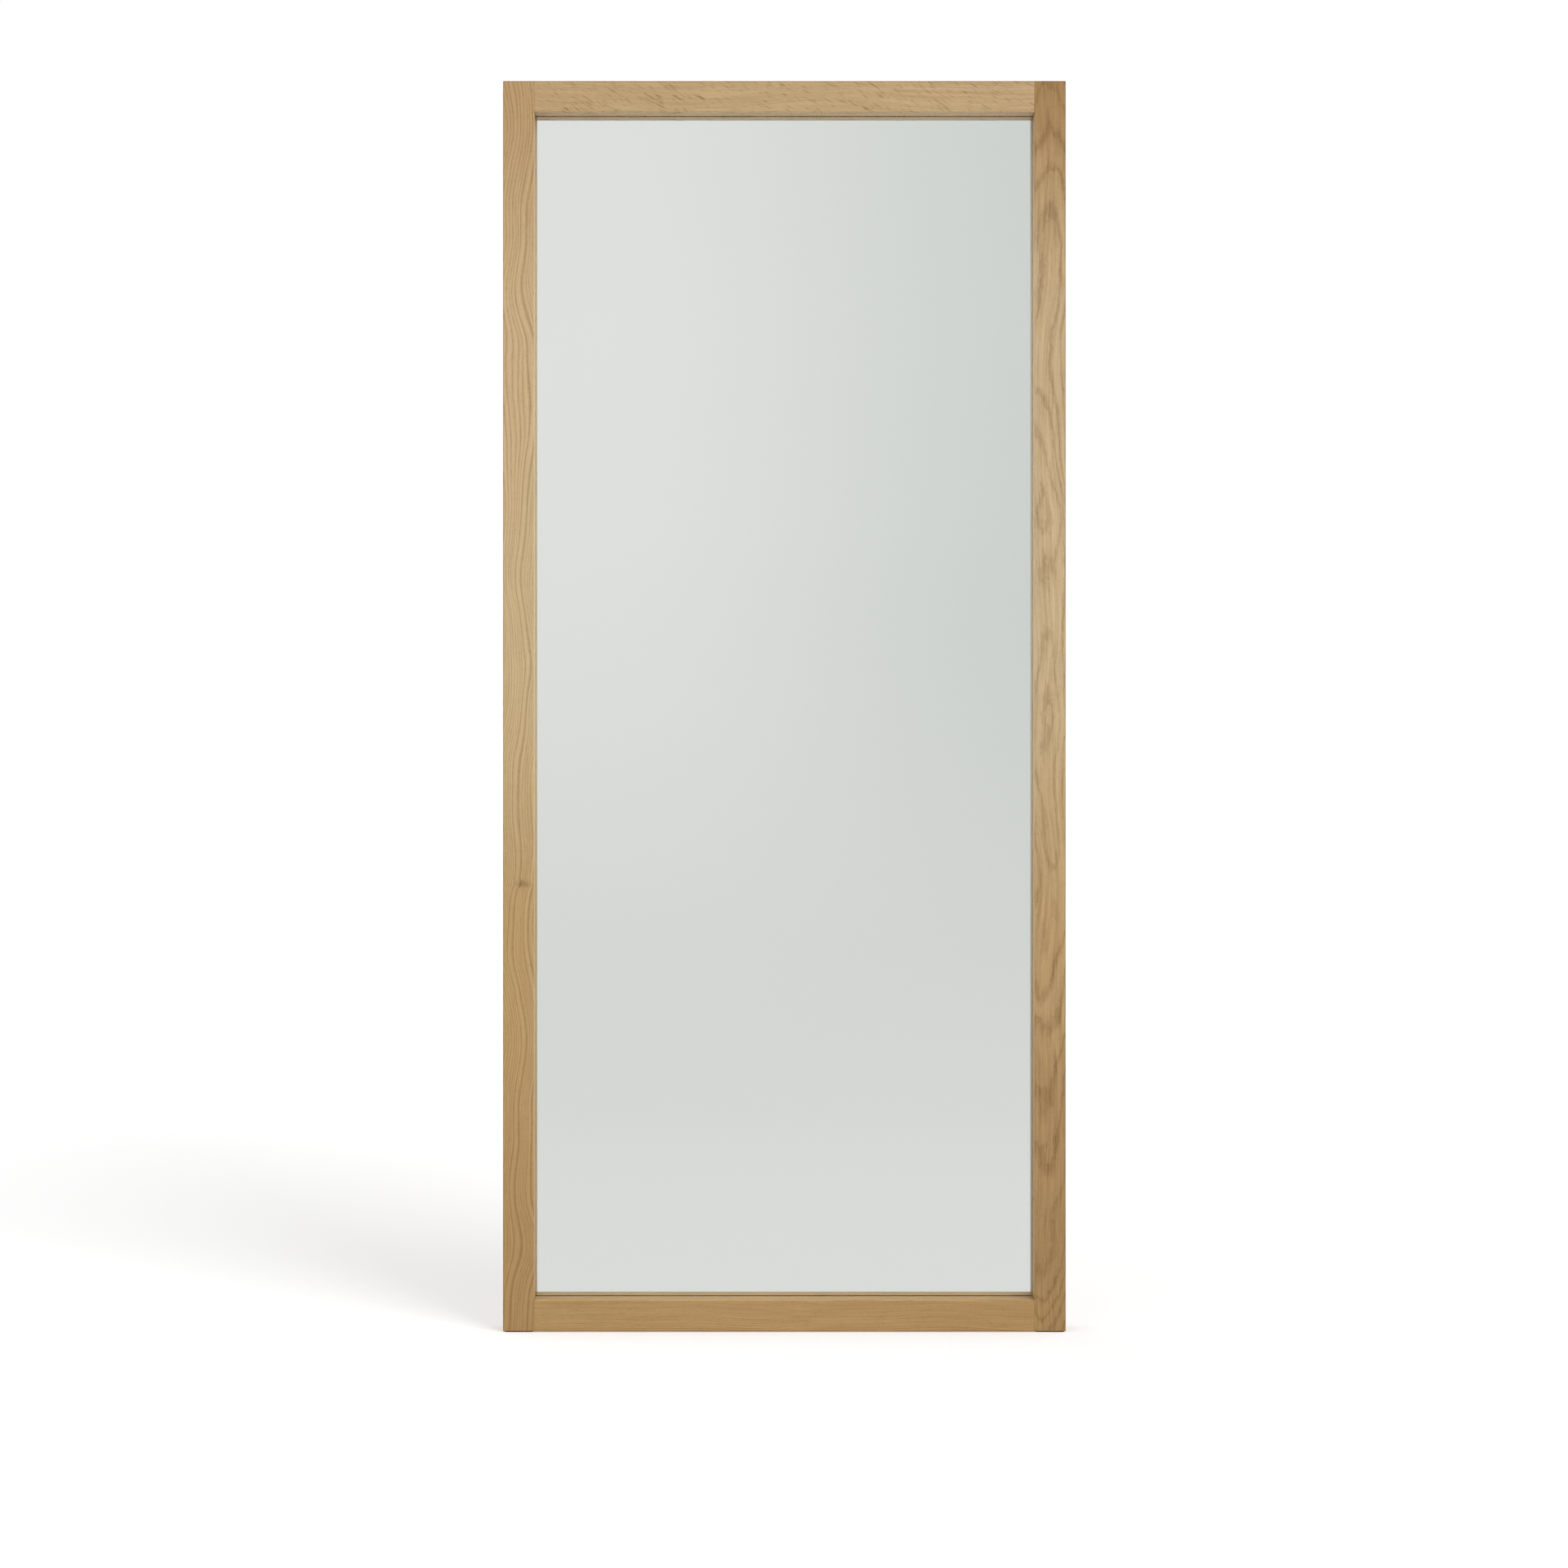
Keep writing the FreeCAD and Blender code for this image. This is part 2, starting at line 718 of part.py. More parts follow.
def wall_bumper(side, name):
    """A round rubber bumper at the top of a stile's back, which meets the wall it leans on."""
    body = new_body(name)
    x = back_strip_middle * side
    sketch = elevation(body, size.frame_depth)
    circle(sketch, x, bumper_centre, size.bumper_diameter / 2)
    pad(body, sketch, size.bumper_height, reverse=True)
    tip = (back + size.bumper_height).value
    dress(body, "Chamfer", size.bumper_easing, lambda box: near(box.YMin, tip))

    # a recess for the screw's head, over a web with the screw's hole
    sketch = elevation(body, bumper_web_depth)
    circle(sketch, x, bumper_centre, size.bumper_recess / 2)
    pocket(body, sketch, size.bumper_height - size.bumper_web)
    sketch = elevation(body, size.frame_depth)
    circle(sketch, x, bumper_centre, (size.hanger_shank + size.screw_clearance) / 2)
    pocket(body, sketch, size.bumper_web)
    return body


def build():
    """Every sub-part, in the order in which the mirror is put together."""
    nodes = [stile(side, f"{word}_stile") for side, word in SIDES]
    nodes.append(rail("bottom_rail", frame_bottom, opening_is_above=True))
    nodes.append(rail("top_rail", opening_top, opening_is_above=False))
    for rail_bottom, level in ((frame_bottom, "bottom"), (opening_top, "top")):
        nodes += [loose_tenon(side, rail_bottom, f"{level}_{word}_tenon") for side, word in SIDES]
    nodes.append(mirror_glass())
    nodes.append(
        sheet_of("silver_backing", size.glass_lap, size.glass_gap, silver_depth, size.silver_thickness)
    )
    nodes += [setting_blocks(), edge_spacers(), foam_tapes(), backing_board(), board_screws()]
    for side, word in SIDES:
        nodes.append(hanger_strap(side, f"{word}_hanger_strap"))
        nodes.append(hanger_ring(side, f"{word}_hanger_ring"))
        nodes.append(floor_pad(side, f"{word}_floor_pad"))
        nodes.append(wall_bumper(side, f"{word}_wall_bumper"))
    both_straps = strap_screws(LEFT) + strap_screws(RIGHT)
    nodes.append(hanger_screws("hanger_screws", both_straps, strap_face_depth))
    both_bumpers = bumper_screw(LEFT) + bumper_screw(RIGHT)
    nodes.append(hanger_screws("bumper_screws", both_bumpers, bumper_web_depth))
    return nodes


def check(nodes):
    """Stops the build on any failed feature, empty cut or unsound shape."""
    for thing in doc.Objects:
        if "Invalid" in thing.State or "Error" in thing.State:
            raise ValueError(f"{thing.Label}: {thing.State}")
        if thing.TypeId == "PartDesign::Pocket":
            if thing.Shape.Volume > thing.BaseFeature.Shape.Volume - ROUND_OFF:
                raise ValueError(f"{thing.Label}: the cut takes nothing away")
    for node in nodes:
        if node.Shape.isNull() or not node.Shape.isValid() or not node.Shape.Solids:
            raise ValueError(f"{node.Label}: no valid solid")


doc.recompute()
sub_parts = build()
doc.recompute()
check(sub_parts)
os.makedirs("parts", exist_ok=True)
for sub_part in sub_parts:
    sub_part.Shape.exportStep(f"parts/{sub_part.Label}.step")
    print(f"{sub_part.Label}: {len(sub_part.Shape.Solids)} solids, {sub_part.Shape.Volume:.1f} mm3")
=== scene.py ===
"""Leaning floor mirror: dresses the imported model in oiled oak, mirror glass, steel, rubber and felt.

Metres, in the model's own frame: X runs along the width, the mirror faces -Y and +Z is up.
"""

import logging
import math
from collections.abc import Callable, Iterator
from contextlib import contextmanager
from dataclasses import dataclass
from enum import Enum

import bmesh
import bpy
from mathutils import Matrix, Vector


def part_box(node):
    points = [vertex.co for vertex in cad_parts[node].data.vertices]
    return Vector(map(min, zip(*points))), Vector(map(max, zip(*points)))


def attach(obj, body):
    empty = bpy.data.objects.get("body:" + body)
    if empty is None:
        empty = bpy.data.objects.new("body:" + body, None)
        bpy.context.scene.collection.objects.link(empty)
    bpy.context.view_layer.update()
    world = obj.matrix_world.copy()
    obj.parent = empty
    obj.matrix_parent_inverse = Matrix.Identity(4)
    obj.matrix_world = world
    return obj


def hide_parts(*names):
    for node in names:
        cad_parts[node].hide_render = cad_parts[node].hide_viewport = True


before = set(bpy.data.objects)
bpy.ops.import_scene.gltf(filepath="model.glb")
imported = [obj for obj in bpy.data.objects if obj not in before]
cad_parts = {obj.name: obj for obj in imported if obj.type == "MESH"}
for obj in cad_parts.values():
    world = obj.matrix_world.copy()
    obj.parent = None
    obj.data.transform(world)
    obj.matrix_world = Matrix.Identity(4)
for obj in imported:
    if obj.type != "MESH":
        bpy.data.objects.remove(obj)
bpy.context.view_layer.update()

MM = 0.001
SAME_PLACE = 0.02 * MM
BODY = "mirror"
log = logging.getLogger("floor_mirror")

Piece = bpy.types.Object
Material = bpy.types.Material
Tree = bpy.types.NodeTree
Node = bpy.types.Node
Source = object  # a node, one of its output sockets, a number or a tuple
Pair = tuple[float, float]
Triple = tuple[float, float, float]
Colour = tuple[float, float, float, float]
Inputs = dict[int | str, Source] | tuple[Source, ...]  # by socket, or for the first ones in order

SOFT = {"interpolation_type": "SMOOTHSTEP"}
COLOUR = {"data_type": "RGBA"}


class Side(Enum):
    """The two sides of the mirror, as one faces it and as the CAD nodes spell them."""

    LEFT = "left"
    RIGHT = "right"


class Lay(Enum):
    """Which way a board of the frame runs; the value is the turn about Y that stands it upright."""

    UPRIGHT = 0.0
    ACROSS = math.pi / 2


# ------ colours and nodes
def linear(code: str) -> Colour:
    """Turns an sRGB hex colour into the linear colour that a shader takes.

    Args:
        code: six hex digits.

    Returns:
        Red, green, blue and an alpha of 1.
    """
    parts = [int(code[i : i + 2], 16) / 255 for i in (0, 2, 4)]
    red, green, blue = (c / 12.92 if c <= 0.04045 else ((c + 0.055) / 1.055) ** 2.4 for c in parts)
    return red, green, blue, 1.0


def grey(level: float) -> Colour:
    """A grey of that linear level."""
    return level, level, level, 1.0


def feed(node: Node, inputs: Inputs) -> None:
    """Sets or links the sockets of a shader node.

    Args:
        node: the node.
        inputs: for each socket, a number or tuple, or the node or socket that feeds it.
    """
    by_socket = inputs if isinstance(inputs, dict) else dict(enumerate(inputs))
    for key, value in by_socket.items():
        socket = node.inputs[key]
        if isinstance(value, Node):
            # a colour Mix has its result on its third output
            is_colour_mix = value.bl_idname == "ShaderNodeMix" and value.data_type == "RGBA"
            value = value.outputs[2 if is_colour_mix else 0]
        if isinstance(value, bpy.types.NodeSocket):
            node.id_data.links.new(value, socket)
        else:
            socket.default_value = value


def add(tree: Tree, kind: str, inputs: Inputs = (), **settings: object) -> Node:
    """Adds a shader node with its settings and links.

    Args:
        tree: the node tree that gets it.
        kind: its type, without the leading ShaderNode.
        inputs: what feeds its sockets.
        **settings: its own properties, and stops for the places and colours of a colour ramp.

    Returns:
        The new node.
    """
    made = tree.nodes.new(f"ShaderNode{kind}")
    stops = settings.pop("stops", ())
    for name, value in settings.items():
        setattr(made, name, value)
    feed(made, inputs)
    if stops:
        elements = made.color_ramp.elements
        while len(elements) < len(stops):
            elements.new(0.5)
        for element, (place, colour) in zip(elements, stops):
            element.position = place
            element.color = colour
    return made


@dataclass(frozen=True)
class Grain:
    """A pattern in a finish: a noise that may be longer one way than another."""

    density: Triple  # grains to a unit of length, along each axis
    layers: float  # how many finer layers it has
    rough: float = 0.5  # how strong they are

    def over(self, tree: Tree, place: Source, shift: float = 0.0) -> Node:
        """Lays the pattern over a surface.

        Args:
            tree: the node tree.
            place: the coordinates.
            shift: moves the pattern, so that no two boards share it.

        Returns:
            The pattern.
        """
        moved = (place, self.density, (shift, shift, shift))
        grid = add(tree, "VectorMath", moved, operation="MULTIPLY_ADD")
        inputs = {"Vector": grid, "Scale": 1.0, "Detail": self.layers, "Roughness": self.rough}
        return add(tree, "TexNoise", inputs)


def new_surface(name: str, **sockets: object) -> tuple[Material, Node]:
    """Makes a material with a Principled shader.

    Args:
        name: what the real material is and how it was made.
        **sockets: constant values of the shader's sockets, with _ for a blank.

    Returns:
        The material and its shader.
    """
    material = bpy.data.materials.new(name)
    material.use_nodes = True
    shader = material.node_tree.nodes["Principled BSDF"]
    feed(shader, {key.replace("_", " "): value for key, value in sockets.items()})
    return material, shader


# ------ finishes
@dataclass(frozen=True)
class OakBoard:
    """Oiled oak, planed and sanded: one board of the frame, sawn from its own place in a log.

    The eye gets a golden tan with a low sheen, fine straight fibres and short dark pores. The growth
    rings are true cylinders about the log's pith, so the face, the edges and the end grain of a board
    agree: straight lines where it is cut on the quarter, arches where it is flat. Sizes are in mm.
    """

    node: str
    pith: Pair  # from the board's centre to the pith, across the face and in depth
    runout: Pair  # degrees that the pith leans from the board's length
    ring: float
    wander: Pair  # how far the grain strays across the face and in depth
    tones_and_shading: tuple[tuple[float, str], ...]  # along the board, 0 at its start and 1 at its end; partly the wood's own tone, partly painted light and shade
    lay: Lay = Lay.UPRIGHT
    contrast: float = 1.0
    streaks: float = 1.0
    bow: float = 0.0  # how far the pith bends away in the first metre from the board's middle
    figure: float = 0.0  # how far cross figure pushes the rings out of round
    fleck: float = 0.05
    slant: float = -80.0  # degrees from the grain to a ray fleck
    knot: Triple | None = None  # across, depth and along from the centre
    seed: float = 0.0

    # patterns, in grains to the mm across, in depth and along the board
    DRIFT = Grain((0.0045, 0.0045, 0.0034), 1.5, 0.4)  # no trunk is straight
    FIBRE = Grain((0.6, 0.6, 0.011), 5, 0.7)
    STREAK = Grain((0.26, 0.26, 0.0055), 3, 0.62)
    PORE = Grain((2.4, 2.4, 0.11), 1, 0.4)  # about twice the real size, to show from a few steps away
    RAY = Grain((0.66, 0.4, 0.045), 1.5)  # coarser than real ones too, and fewer
    CRINKLE = Grain((0.22, 0.22, 0.06), 2)
    CURL = Grain((0.022, 0.022, 0.0075), 2.5)
    HEART = Grain((0.1, 0.1, 0.6), 2)

    # a ring from one spring to the next: open dark wood, then pale, and closed summer wood in mid tan
    RING = ((0.0, 0.5), (0.08, 0.0), (0.20, 0.1), (0.36, 0.8), (0.55, 1.0), (1.0, 0.72))
    LEAN_RING = 0.45  # how strongly the weakest ring shows
    EVEN_RING = 0.66
    RAGGED, RAGGED_BY_FIGURE = 0.8, 0.12
    YEARS, YEARS_DRIFT = 0.05, 3.0  # good and lean spells to the mm, and the rings that they move
    PORES_FROM = (0.62, 0.50)  # the noise level where pores begin, in summer and in spring wood
    PORES_FULL = 0.74
    RAYS = (0.60, 0.70)
    KNOT_REACH = (0.042, 0.02, 0.075)  # one over its size each way
    KNOT_PUSH = 3.5
    KNOT_DARK = 0.62

    # how strongly each of them works on the tone
    BAND, BAND_DARK = 0.46, 0.30
    MOTTLE = 0.13
    PORE_DARK = 0.26
    END_GRAIN = 0.72
    RED_FALL, BLUE_FALL = 0.86, 1.30
    GLOSS = (0.62, 0.44)  # the roughness of dark and of pale wood
    RELIEF = {"Strength": 0.35, "Distance": 0.12 * MM}

    # painted shade on the outer arrises and painted light on the recess's walls, which the mirror lights; oil
    # gathers in the shoulders' joints
    ARRIS = (0.5 * MM, 1.9 * MM)
    # painted shade: how dark the outer arrises are painted
    ARRIS_SHADE = 0.58
    JOINT = (0.15 * MM, 0.5 * MM)
    JOINT_DARK = 0.4
    JOINT_END = 51.5 * MM  # the rail's height and a little more
    WALL = (48.8 * MM, 49.8 * MM)
    # painted light: how much paler the recess's walls are painted
    WALL_PAINTED_LIGHT = 1.3

    def material(self) -> Material:
        """Builds the wood.

        Returns:
            The material, on Object coordinates.
        """
        sockets = {"IOR": 1.48, "Coat_Roughness": 0.35, "Coat_Weight": 0.05}
        material, shader = new_surface(f"oiled_oak_{self.node}", **sockets)
        tree = material.node_tree
        place = add(tree, "TexCoord").outputs
        low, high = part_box(self.node)
        half_length = (max(high - low) / 2) / MM
        # into the board's own frame, in mm: x across the face, y in depth, z along the grain
        into_board = {
            0: place["Object"],
            "Location": (low + high) / 2,
            "Rotation": (0, self.lay.value, 0),
            "Scale": (MM, MM, MM),
        }
        board = add(tree, "Mapping", into_board, vector_type="TEXTURE")
        drift = self.DRIFT.over(tree, board, self.seed).outputs["Color"]
        level = add(tree, "VectorMath", (drift, (0.5, 0.5, 0.5)), operation="SUBTRACT")
        sway = add(tree, "VectorMath", (level, (*self.wander, 0), board), operation="MULTIPLY_ADD")
        band, ring, darker = self.rings(tree, board, sway)
        fibre = self.FIBRE.over(tree, sway)
        pore = self.pores(tree, sway, ring)

        # the wood's lightness, from the rings and then all that darkens or pales them
        base = 1 - self.BAND_DARK * self.contrast
        light = add(tree, "Math", (band, self.BAND * self.contrast, base), operation="MULTIPLY_ADD")
        streak = self.STREAK.over(tree, sway, self.seed)
        mottle = self.MOTTLE * self.streaks
        for pattern, low_end, high_end in ((streak, 0.25, 0.75), (fibre, 0.2, 0.8)):
            tint = add(tree, "MapRange", (pattern, low_end, high_end, -mottle, mottle))
            light = add(tree, "Math", (light, tint), operation="ADD")
        light = add(tree, "Math", (pore, -self.PORE_DARK, light), operation="MULTIPLY_ADD")
        for dark in (self.flecks(tree, sway), darker):
            if dark:
                light = add(tree, "Math", (light, dark), operation="SUBTRACT")
        # end grain darkens with the oil it drinks; the outer arrises get painted shade and the recess's walls
        # painted light
        for share in (self.end_grain(tree, place["Normal"]), self.painted_light_and_joints(tree, place["Object"])):
            light = add(tree, "Math", (light, share), operation="MULTIPLY")
        # darker wood is also redder: blue falls faster than red
        falls = (self.RED_FALL, self.BLUE_FALL)
        red, blue = (add(tree, "Math", (light, fall), operation="POWER") for fall in falls)
        warm = add(tree, "CombineColor", (red, light, blue))

        # the tone along the board's length: partly its own, partly painted light and shade, palest past the
        # middle of a stile and darker towards its ends
        along = add(tree, "SeparateXYZ", (board,)).outputs["Z"]
        share = add(tree, "MapRange", (along, -half_length, half_length))
        tone = add(tree, "ValToRGB", (share,), stops=[(at, linear(code)) for at, code in self.tones_and_shading])
        tone.color_ramp.interpolation = "EASE"
        height = add(tree, "Math", (pore, -1.0, fibre), operation="MULTIPLY_ADD")
        finish = {
            "Base Color": add(tree, "Mix", {0: 1.0, 6: tone, 7: warm}, blend_type="MULTIPLY", **COLOUR),
            "Roughness": add(tree, "MapRange", (light, 0.6, 1.15, *self.GLOSS)),
            "Normal": add(tree, "Bump", {**self.RELIEF, "Height": height}),
        }
        feed(shader, finish)
        return material

    def pores(self, tree: Tree, sway: Node, ring: Node) -> Node:
        """Opens the pores: dashes, mostly in the spring wood.

        Args:
            tree: the node tree.
            sway: the place, strayed with the grain.
            ring: how pale the ring is there.

        Returns:
            How deep in a pore each place is.
        """
        start = add(tree, "MapRange", (ring, 0.9, 0.1, *self.PORES_FROM))
        return add(tree, "MapRange", (self.PORE.over(tree, sway), start, self.PORES_FULL), **SOFT)

    def flecks(self, tree: Tree, sway: Node) -> Node:
        """Cuts the medullary rays, thin sheets that cross the grain on a slant.

        Args:
            tree: the node tree.
            sway: the place, strayed with the grain.

        Returns:
            How much a ray darkens each place.
        """
        turned = add(tree, "Mapping", {0: sway, "Rotation": (0, math.radians(self.slant), 0)})
        rays = self.RAY.over(tree, turned, self.seed)
        return add(tree, "MapRange", (rays, *self.RAYS, 0, self.fleck), **SOFT)

    def end_grain(self, tree: Tree, normal: Source) -> Node:
        """Darkens the ends of the board, which drink more oil.

        Args:
            tree: the node tree.
            normal: which way the surface faces.

        Returns:
            What the wood's tone is multiplied by.
        """
        length = (0, 0, 1) if self.lay is Lay.UPRIGHT else (1, 0, 0)
        facing = add(tree, "VectorMath", (normal, length), operation="DOT_PRODUCT").outputs["Value"]
        end = add(tree, "Math", (facing,), operation="ABSOLUTE")
        return add(tree, "MapRange", (end, 0.3, 0.9, 1.0, self.END_GRAIN))

    def rings(self, tree: Tree, board: Node, sway: Node) -> tuple[Node, Node, Node | None]:
        """Cuts the growth rings, true cylinders about the pith but for bow, figure and knots.

        Args:
            tree: the node tree.
            board: the place in the board's own frame.
            sway: the same, strayed with the grain.

        Returns:
            How pale the ring is with its own strength, how pale an even ring would be, and how much
            the heart of a knot darkens it, if the board has one.
        """
        into_trunk = {
            0: sway,
            "Location": (*self.pith, 0),
            "Rotation": (math.radians(self.runout[0]), math.radians(self.runout[1]), 0),
        }
        trunk = add(tree, "Mapping", into_trunk, vector_type="TEXTURE")
        x, y, z = add(tree, "SeparateXYZ", (trunk,)).outputs
        squared = add(tree, "Math", (z, z), operation="MULTIPLY")
        bent = add(tree, "Math", (squared, self.bow * MM * MM, y), operation="MULTIPLY_ADD")
        from_pith = add(tree, "CombineXYZ", (x, bent))
        radius = add(tree, "VectorMath", (from_pith,), operation="LENGTH").outputs["Value"]
        # ragged by a fibre or two everywhere, and by the cross figure where there is some
        crinkle = self.CRINKLE.over(tree, board, self.seed)
        ragged = self.RAGGED + self.RAGGED_BY_FIGURE * self.figure
        radius = add(tree, "Math", (crinkle, ragged, radius), operation="MULTIPLY_ADD")
        if self.figure:
            curl = self.CURL.over(tree, board, self.seed + 7)
            radius = add(tree, "Math", (curl, self.figure, radius), operation="MULTIPLY_ADD")
        darker = None
        if self.knot:
            away = add(tree, "VectorMath", (board, self.knot), operation="SUBTRACT")
            away = add(tree, "VectorMath", (away, self.KNOT_REACH), operation="MULTIPLY")
            reach = add(tree, "VectorMath", (away,), operation="LENGTH").outputs["Value"]
            push = add(tree, "MapRange", (reach, 0.0, 1.0, self.KNOT_PUSH, 0.0), **SOFT)
            radius = add(tree, "Math", (radius, push), operation="ADD")
            core = add(tree, "MapRange", (reach, 0.15, 0.7, self.KNOT_DARK, 0.0), **SOFT)
            darker = add(tree, "Math", (core, self.HEART.over(tree, board)), operation="MULTIPLY")

        # good and lean years: the ring width drifts along the radius
        flat = {"noise_dimensions": "1D"}
        years = add(tree, "TexNoise", {"W": radius, "Scale": self.YEARS, "Detail": 1.0}, **flat)
        even = add(tree, "Math", (radius, self.ring), operation="DIVIDE")
        count = add(tree, "Math", (years, self.YEARS_DRIFT, even), operation="MULTIPLY_ADD")
        year = add(tree, "Math", (count,), operation="FLOOR")
        season = add(tree, "Math", (count,), operation="FRACT")
        ring = add(tree, "ValToRGB", (season,), stops=[(at, grey(level)) for at, level in self.RING])
        chance = add(tree, "TexWhiteNoise", {"W": year}, **flat).outputs["Value"]
        weight = add(tree, "MapRange", (chance, 0, 1, self.LEAN_RING, 1.0))
        return add(tree, "Mix", {0: weight, 2: self.EVEN_RING, 3: ring}), ring, darker

    def painted_light_and_joints(self, tree: Tree, place: Source) -> Node:
        """Paints shade on the outer arrises and light on the recess's walls, and darkens the shoulders'
        joints.

        Args:
            tree: the node tree.
            place: the Object coordinates.

        Returns:
            What the wood's tone is multiplied by.
        """
        low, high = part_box("left_stile")[0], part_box("right_stile")[1]
        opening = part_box("left_stile")[1].x
        away = add(tree, "VectorMath", (place, (low + high) / 2), operation="SUBTRACT")
        away = add(tree, "VectorMath", (away,), operation="ABSOLUTE")
        inside = add(tree, "VectorMath", ((high - low) / 2, away), operation="SUBTRACT")
        x, y, z = add(tree, "SeparateXYZ", (inside,)).outputs
        # on a face one of the three is nothing, and the next smallest is the way to its arris
        side = add(tree, "Math", (x, z), operation="MINIMUM")
        wider = add(tree, "Math", (x, z), operation="MAXIMUM")
        deep = add(tree, "Math", (wider, y), operation="MINIMUM")
        arris = add(tree, "Math", (side, deep), operation="MAXIMUM")
        # painted shade: the outer arrises darkened
        arris_shade = add(tree, "MapRange", (arris, *self.ARRIS, self.ARRIS_SHADE, 1.0), **SOFT)
        # painted light: the recess's walls and the face's inner edge made paler
        pale = add(tree, "MapRange", (side, *self.WALL, 1.0, self.WALL_PAINTED_LIGHT), **SOFT)
        # the hairlines of the four shoulders, on the rails' height only
        across = add(tree, "SeparateXYZ", (away,)).outputs["X"]
        across = add(tree, "Math", (across, opening), operation="ADD")
        across = add(tree, "Math", (across,), operation="ABSOLUTE")
        line = add(tree, "MapRange", (across, *self.JOINT, self.JOINT_DARK, 0.0), **SOFT)
        on_rail = add(tree, "Math", (z, self.JOINT_END), operation="LESS_THAN")
        joint = add(tree, "Math", (line, on_rail), operation="MULTIPLY")
        kept = add(tree, "Math", (1.0, joint), operation="SUBTRACT")
        shade_and_joints = add(tree, "Math", (arris_shade, kept), operation="MULTIPLY")
        return add(tree, "Math", (pale, shade_and_joints), operation="MULTIPLY")


@dataclass(frozen=True)
class FloatGlass:
    """Clear soda-lime float glass with a ground edge: 4 mm of faint green over the silver."""

    name: str = "float_glass_ground_edge"
    edge: float = 0.3 * MM  # the ground arris shows matt from here outwards
    face_tint: str = "FBFEFC"
    edge_tint: str = "B9D8C8"
    edge_matt: float = 0.35

    def material(self, low: Vector, high: Vector) -> Material:
        """Builds the glass.

        Args:
            low: the pane's lowest corner.
            high: its highest corner.

        Returns:
            The material: polished faces and a matt, greener rim.
        """
        material, shader = new_surface(self.name, IOR=1.52, Transmission_Weight=1.0)
        tree = material.node_tree
        place = add(tree, "TexCoord").outputs["Object"]
        away = add(tree, "VectorMath", (place, (low + high) / 2), operation="SUBTRACT")
        away = add(tree, "VectorMath", (away,), operation="ABSOLUTE")
        axes = add(tree, "SeparateXYZ", (away,)).outputs
        rims = []
        for axis, half in (("X", (high.x - low.x) / 2), ("Z", (high.z - low.z) / 2)):
            rims.append(add(tree, "MapRange", (axes[axis], half - self.edge * 2, half - self.edge)))
        rim = add(tree, "Math", tuple(rims), operation="MAXIMUM")
        tint = add(tree, "Mix", {0: rim, 6: linear(self.face_tint), 7: linear(self.edge_tint)}, **COLOUR)
        matt = add(tree, "MapRange", (rim, 0.0, 1.0, 0.0, self.edge_matt))
        feed(shader, {"Base Color": tint, "Roughness": matt})
        return material


@dataclass(frozen=True)
class SilverCoat:
    """Chemically deposited silver: a true mirror, a hair greener than the light it returns."""

    name: str = "silver_deposited_on_glass"
    dark: str = "F3F5F3"
    pale: str = "F5F7F5"

    def material(self) -> Material:
        """Builds the mirror face.

        Returns:
            The material.
        """
        material, shader = new_surface(self.name, Metallic=1.0, Roughness=0.0)
        tree = material.node_tree
        place = add(tree, "TexCoord").outputs["Object"]
        cloud = add(tree, "TexNoise", {"Vector": place, "Scale": 1.4, "Detail": 1.0})
        tint = add(tree, "Mix", {0: cloud, 6: linear(self.dark), 7: linear(self.pale)}, **COLOUR)
        feed(shader, {"Base Color": tint})
        return material


@dataclass(frozen=True)
class Mottled:
    """A finish whose tone, gloss and relief follow one grain: paint, rubber, felt, foam, board or metal.

    Lengths are in mm.
    """

    name: str
    dark: str
    pale: str
    grain: float  # across one speckle or fibre clump
    stretch: Triple = (1.0, 1.0, 1.0)
    detail: float = 3.0
    gloss: Pair = (0.4, 0.5)
    relief: float = 0.05
    strength: float = 0.3
    metallic: float = 0.0
    sheen: float = 0.0
    patch: float = 60.0  # across one cloud of tone
    cloudy: float = 0.3  # the clouds' share of the tone
    ior: float = 1.5

    def material(self) -> Material:
        """Builds the finish.

        Returns:
            The material, on Object coordinates.
        """
        fixed = {"Metallic": self.metallic, "Sheen_Weight": self.sheen}
        if not self.metallic:
            fixed["IOR"] = self.ior
        material, shader = new_surface(self.name, **fixed)
        tree = material.node_tree
        place = add(tree, "TexCoord").outputs["Object"]
        density = tuple(s / (self.grain * MM) for s in self.stretch)
        speckle = Grain(density, self.detail, 0.6).over(tree, place)
        cloud = add(tree, "TexNoise", {"Vector": place, "Scale": 1 / (self.patch * MM), "Detail": 2.0})
        both = add(tree, "Mix", {0: self.cloudy, 2: speckle, 3: cloud})
        tone = add(tree, "MapRange", (both, 0.3, 0.7))
        relief = {"Strength": self.strength, "Distance": self.relief * MM, "Height": speckle}
        finish = {
            "Base Color": add(tree, "Mix", {0: tone, 6: linear(self.dark), 7: linear(self.pale)}, **COLOUR),
            "Roughness": add(tree, "MapRange", (speckle, 0.3, 0.7, *self.gloss)),
            "Normal": add(tree, "Bump", relief),
        }
        feed(shader, finish)
        return material


# near black and matt, with a faint leathery skin from the mould
RUBBER = Mottled(
    "moulded_epdm_rubber", "1B1B1C", "272728", grain=0.5, gloss=(0.55, 0.7), relief=0.03, ior=1.52
)


# ------ modelling by hand
def alone(piece: Piece | None) -> None:
    """Deselects everything and makes one piece, if any, the selected and active one."""
    bpy.ops.object.select_all(action="DESELECT")
    if piece:
        piece.select_set(True)
        bpy.context.view_layer.objects.active = piece


